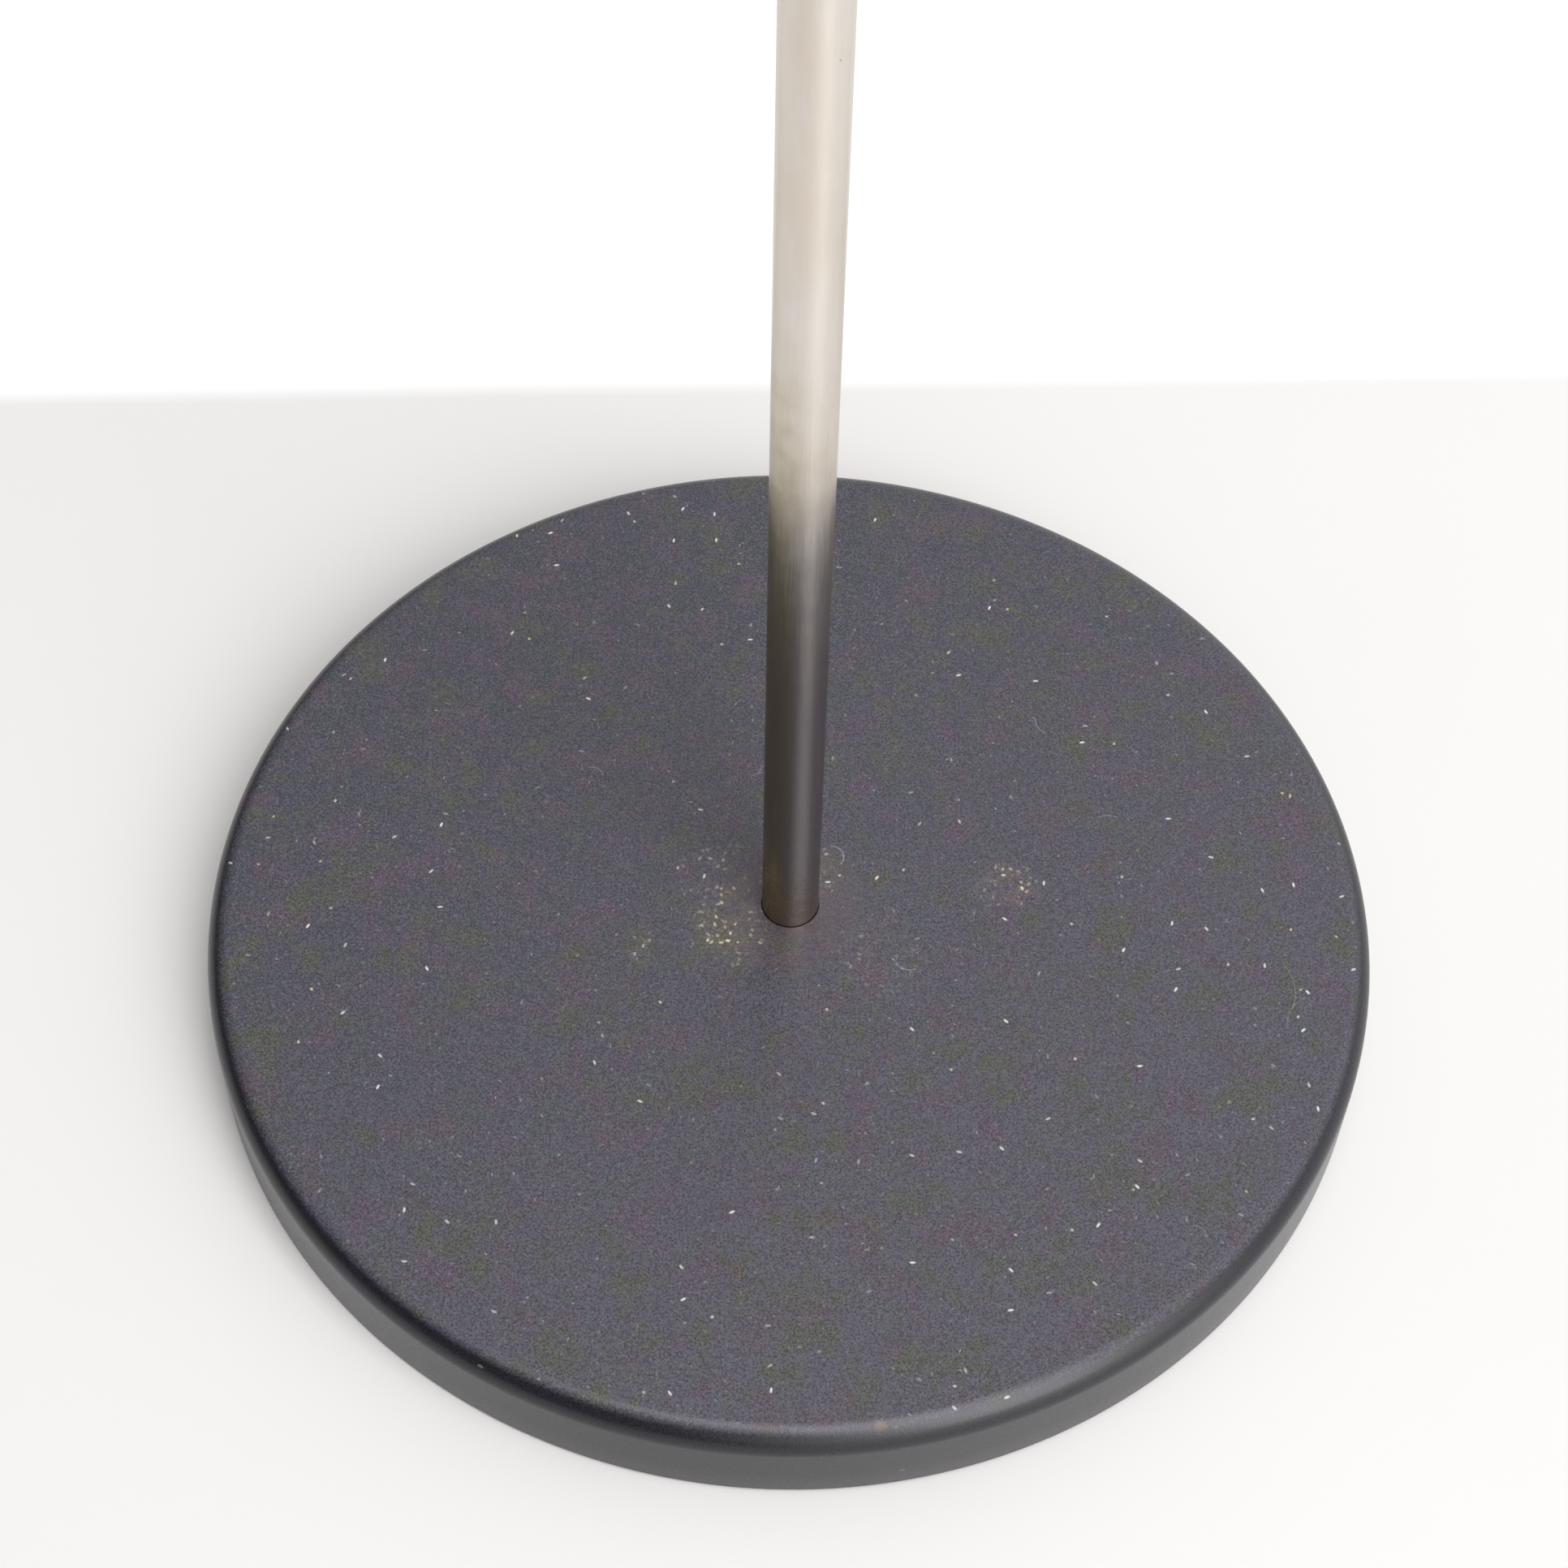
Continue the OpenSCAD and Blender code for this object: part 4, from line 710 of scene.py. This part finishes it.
def build_screws(m):
    """Two slotted screws that close the switch housing from behind."""
    seat_y, head_r, half_slot, seat_h, count = 15.3, 2.6, 0.35, 0.78, 17
    rings = ((0.5, head_r), (1.00, head_r), (1.10, head_r - 0.06), (1.15, head_r - 0.18))
    seat = rounded([(0, 0, 0), (head_r, 0, 0.1), (head_r, seat_h, 0.1), (0, seat_h, 0)])
    for k, (z, turn) in enumerate(SCREWS):
        place = (Matrix.Translation((0, seat_y * MM, z * MM))
                 @ Matrix.Rotation(math.radians(-90), 4, "X")
                 @ Matrix.Rotation(math.radians(turn), 4, "Z"))
        dress(lathe(f"housing_screw_{k + 1}_seat", seat, [m["steel"]], 40, place),
              "pole", "zinc_steel")
        points, faces = [], []
        for side in (1, -1):
            first = len(points)
            for height, r in rings:
                edge = math.asin(half_slot / r)
                for s in range(count):
                    a = edge + (math.pi - 2 * edge) * s / (count - 1)
                    points.append(place @ Vector((side * r * math.cos(a) * MM,
                                                  side * r * math.sin(a) * MM, height * MM)))
            for low in range(first, len(points) - count, count):
                for s in range(count):
                    n = (s + 1) % count
                    faces.append((low + s, low + n, low + n + count, low + s + count))
            faces += [tuple(range(first, first + count)),
                      tuple(range(len(points) - count, len(points)))]
        halves = add_mesh(f"housing_screw_{k + 1}_head", points, faces, [m["steel"]])
        dress(halves, "pole", "zinc_steel")


NODE_LOOKS = {
    "base_weight": "concrete", "base_stud": "steel", "base_nut": "steel",
    "base_washer": "steel", "cord_grommet": "rubber", "foot_plug": "steel",
    "lower_coupler": "nickel", "upper_coupler": "nickel", "nipple_nuts": "brass",
    "switch_front": "plastic", "switch_rear": "plastic", "switch_unit": "phenolic",
    "switch_nut": "nickel", "switch_knob": "plastic", "guide_bush": "nylon",
    "clamp_collar": "nickel", "clamp_screw": "steel", "sliding_tube": "nickel",
    "slider_guide": "nylon", "spring_seat": "nickel", "plunger_rod": "chrome",
    "plunger_stop": "brass", "head_boss": "nickel", "fork": "nickel", "pin": "steel",
    "pin_nut": "steel", "socket_cup": "shade", "lamp_holder": "phenolic",
    "shade_ring": "phenolic", "bulb_cap": "cap",
}


def paint_nodes(m):
    """Gives every solid that still shows its own material."""
    for name, node in NODES.items():
        stem = name[:-2] if name[-2] == "_" and name[-1].isdigit() else name
        look = NODE_LOOKS.get(stem)
        if look and not node.hide_render:
            node.data.materials.clear()
            node.data.materials.append(m[look])


# ---- Stage ----

WALL_Y, WALL_SLANT = 0.268, 0.062  # where the floor turns into the white backdrop
EDGE_SHARP, EDGE_SOFT = 0.006, 1.5  # half width of that turn, near the middle and aside
FAR_FROM, FAR_TO = 1.2, 4.5
WALL_GLOW, FAR_GLOW = 0.12, 0.7


def build_floor():
    """Pale floor, painted darker to the left as a painted falloff of the light, that turns
    white behind the foot and far away.
    """
    mesh = bpy.data.meshes.new("floor")
    reach, ring = 40.0, 96
    points = [(0, 0, 0)] + [(reach * math.cos(2 * math.pi * k / ring),
                             reach * math.sin(2 * math.pi * k / ring), 0)
                            for k in range(ring)]
    mesh.from_pydata(points, [], [(0, k + 1, (k + 1) % ring + 1) for k in range(ring)])
    floor = bpy.data.objects.new("floor", mesh)
    bpy.context.scene.collection.objects.link(floor)
    p = Paint("floor", Specular_IOR_Level=0.5)
    # painted light: the floor is painted darker to the left, as a painted falloff of the light
    side = p.span(p.part(p.place, 0), -0.6, 0.4)
    tone = p.mix(side, (0.885, 0.865, 0.860), (0.930, 0.918, 0.908))
    tone = p.mix(p.span(p.noise(5.0, 2.0), 0.3, 0.7, 0.0, 0.3), tone, (0.91, 0.89, 0.87))
    across = p.math("ABSOLUTE", p.part(p.place, 0))
    blur = p.span(across, 0.31, 0.60, EDGE_SHARP, EDGE_SOFT)
    behind = p.vector("DOT_PRODUCT", p.place, (-WALL_SLANT, 1.0, 0.0))
    backdrop = p.span(behind, p.math("SUBTRACT", WALL_Y, blur), p.math("ADD", WALL_Y, blur))
    far = p.span(p.vector("LENGTH", p.place), FAR_FROM, FAR_TO)
    white = p.math("MAXIMUM", backdrop, far)
    tone = p.mix(white, tone, (0.97, 0.97, 0.97))
    path = p.node("LightPath").outputs
    seen = p.math("MAXIMUM", path["Is Camera Ray"],
                  p.math("MAXIMUM", path["Is Glossy Ray"], path["Is Transmission Ray"]))
    p.shader.inputs["Emission Color"].default_value = (1.0, 1.0, 1.0, 1.0)
    glow = p.math("ADD", p.math("MULTIPLY", white, WALL_GLOW),
                  p.math("MULTIPLY", far, FAR_GLOW))
    p.feed(p.shader.inputs["Emission Strength"], p.math("MULTIPLY", glow, seen))
    mesh.materials.append(p.done(tone, p.span(p.noise(30.0), 0.3, 0.7, 0.34, 0.42)))


BRIGHT_SIDE, WINDOW_SIDE = (0.72, 0.36, 0.59), (0.52, -0.76, 0.39)
PANEL_START, PANEL_END = Vector((-0.9, 1.4, 8.7)), Vector((5.1, -6.9, 3.6))
PANEL_WIDTH, PANEL_WATTS = 3.6, 440.0


def build_light():
    """A white room, dim on the left and behind the camera, under a long soft ceiling panel."""
    world = bpy.data.worlds.new("studio")
    world.use_nodes = True
    tree = world.node_tree
    back = tree.nodes["Background"]
    back.inputs["Color"].default_value = (1.0, 1.0, 1.0, 1.0)

    def node(kind, *values, **settings):
        made = tree.nodes.new("ShaderNode" + kind)
        for name, value in settings.items():
            setattr(made, name, value)
        for socket, value in zip(made.inputs, values):
            if isinstance(value, bpy.types.NodeSocket):
                tree.links.new(value, socket)
            elif value is not None:
                socket.default_value = value
        return made.outputs

    path = node("LightPath")
    sky = node("TexCoord")["Generated"]

    def brightness(side, near, full, low, high):
        """Light that grows from low to high as the direction turns toward side."""
        toward = node("VectorMath", sky, side, operation="DOT_PRODUCT")["Value"]
        return node("MapRange", toward, near, full, low, high,
                    interpolation_type="SMOOTHSTEP")["Result"]

    shine = brightness(BRIGHT_SIDE, -0.20, 0.88, 0.16, 1.05)
    soft = brightness(BRIGHT_SIDE, -0.20, 0.88, 0.14, 0.44)
    window = brightness(WINDOW_SIDE, 0.72, 0.96, 0.0, 1.7)
    light = node("Mix", path["Is Glossy Ray"], None, soft, shine)[0]
    light = node("Math", light, window, operation="ADD")[0]
    seen = node("Math", path["Is Camera Ray"], path["Is Transmission Ray"],
                operation="MAXIMUM")[0]
    level = node("Mix", seen, None, light, 1.0)[0]
    tree.links.new(level, back.inputs["Strength"])
    bpy.context.scene.world = world
    middle, run = (PANEL_START + PANEL_END) / 2, PANEL_END - PANEL_START
    data = bpy.data.lights.new("key", "AREA")
    data.shape = "RECTANGLE"
    data.size, data.size_y = run.length, PANEL_WIDTH
    data.energy = PANEL_WATTS
    lamp = bpy.data.objects.new("key", data)
    back_way = middle.normalized()
    long_way = (run - run.dot(back_way) * back_way).normalized()
    turn = Matrix((long_way, back_way.cross(long_way), back_way)).transposed().to_4x4()
    lamp.matrix_world = Matrix.Translation(middle) @ turn
    lamp.visible_camera = False
    bpy.context.scene.collection.objects.link(lamp)


photo_camera()
looks = make_materials()
build_foot(looks)
build_tubes(looks)
for head in range(3):
    build_shade(head, looks)
    build_bulb(head, looks)
build_spring(looks)
build_dish(looks)
build_screws(looks)
paint_nodes(looks)
build_floor()
build_light()
bpy.context.scene.view_settings.view_transform = "Standard"
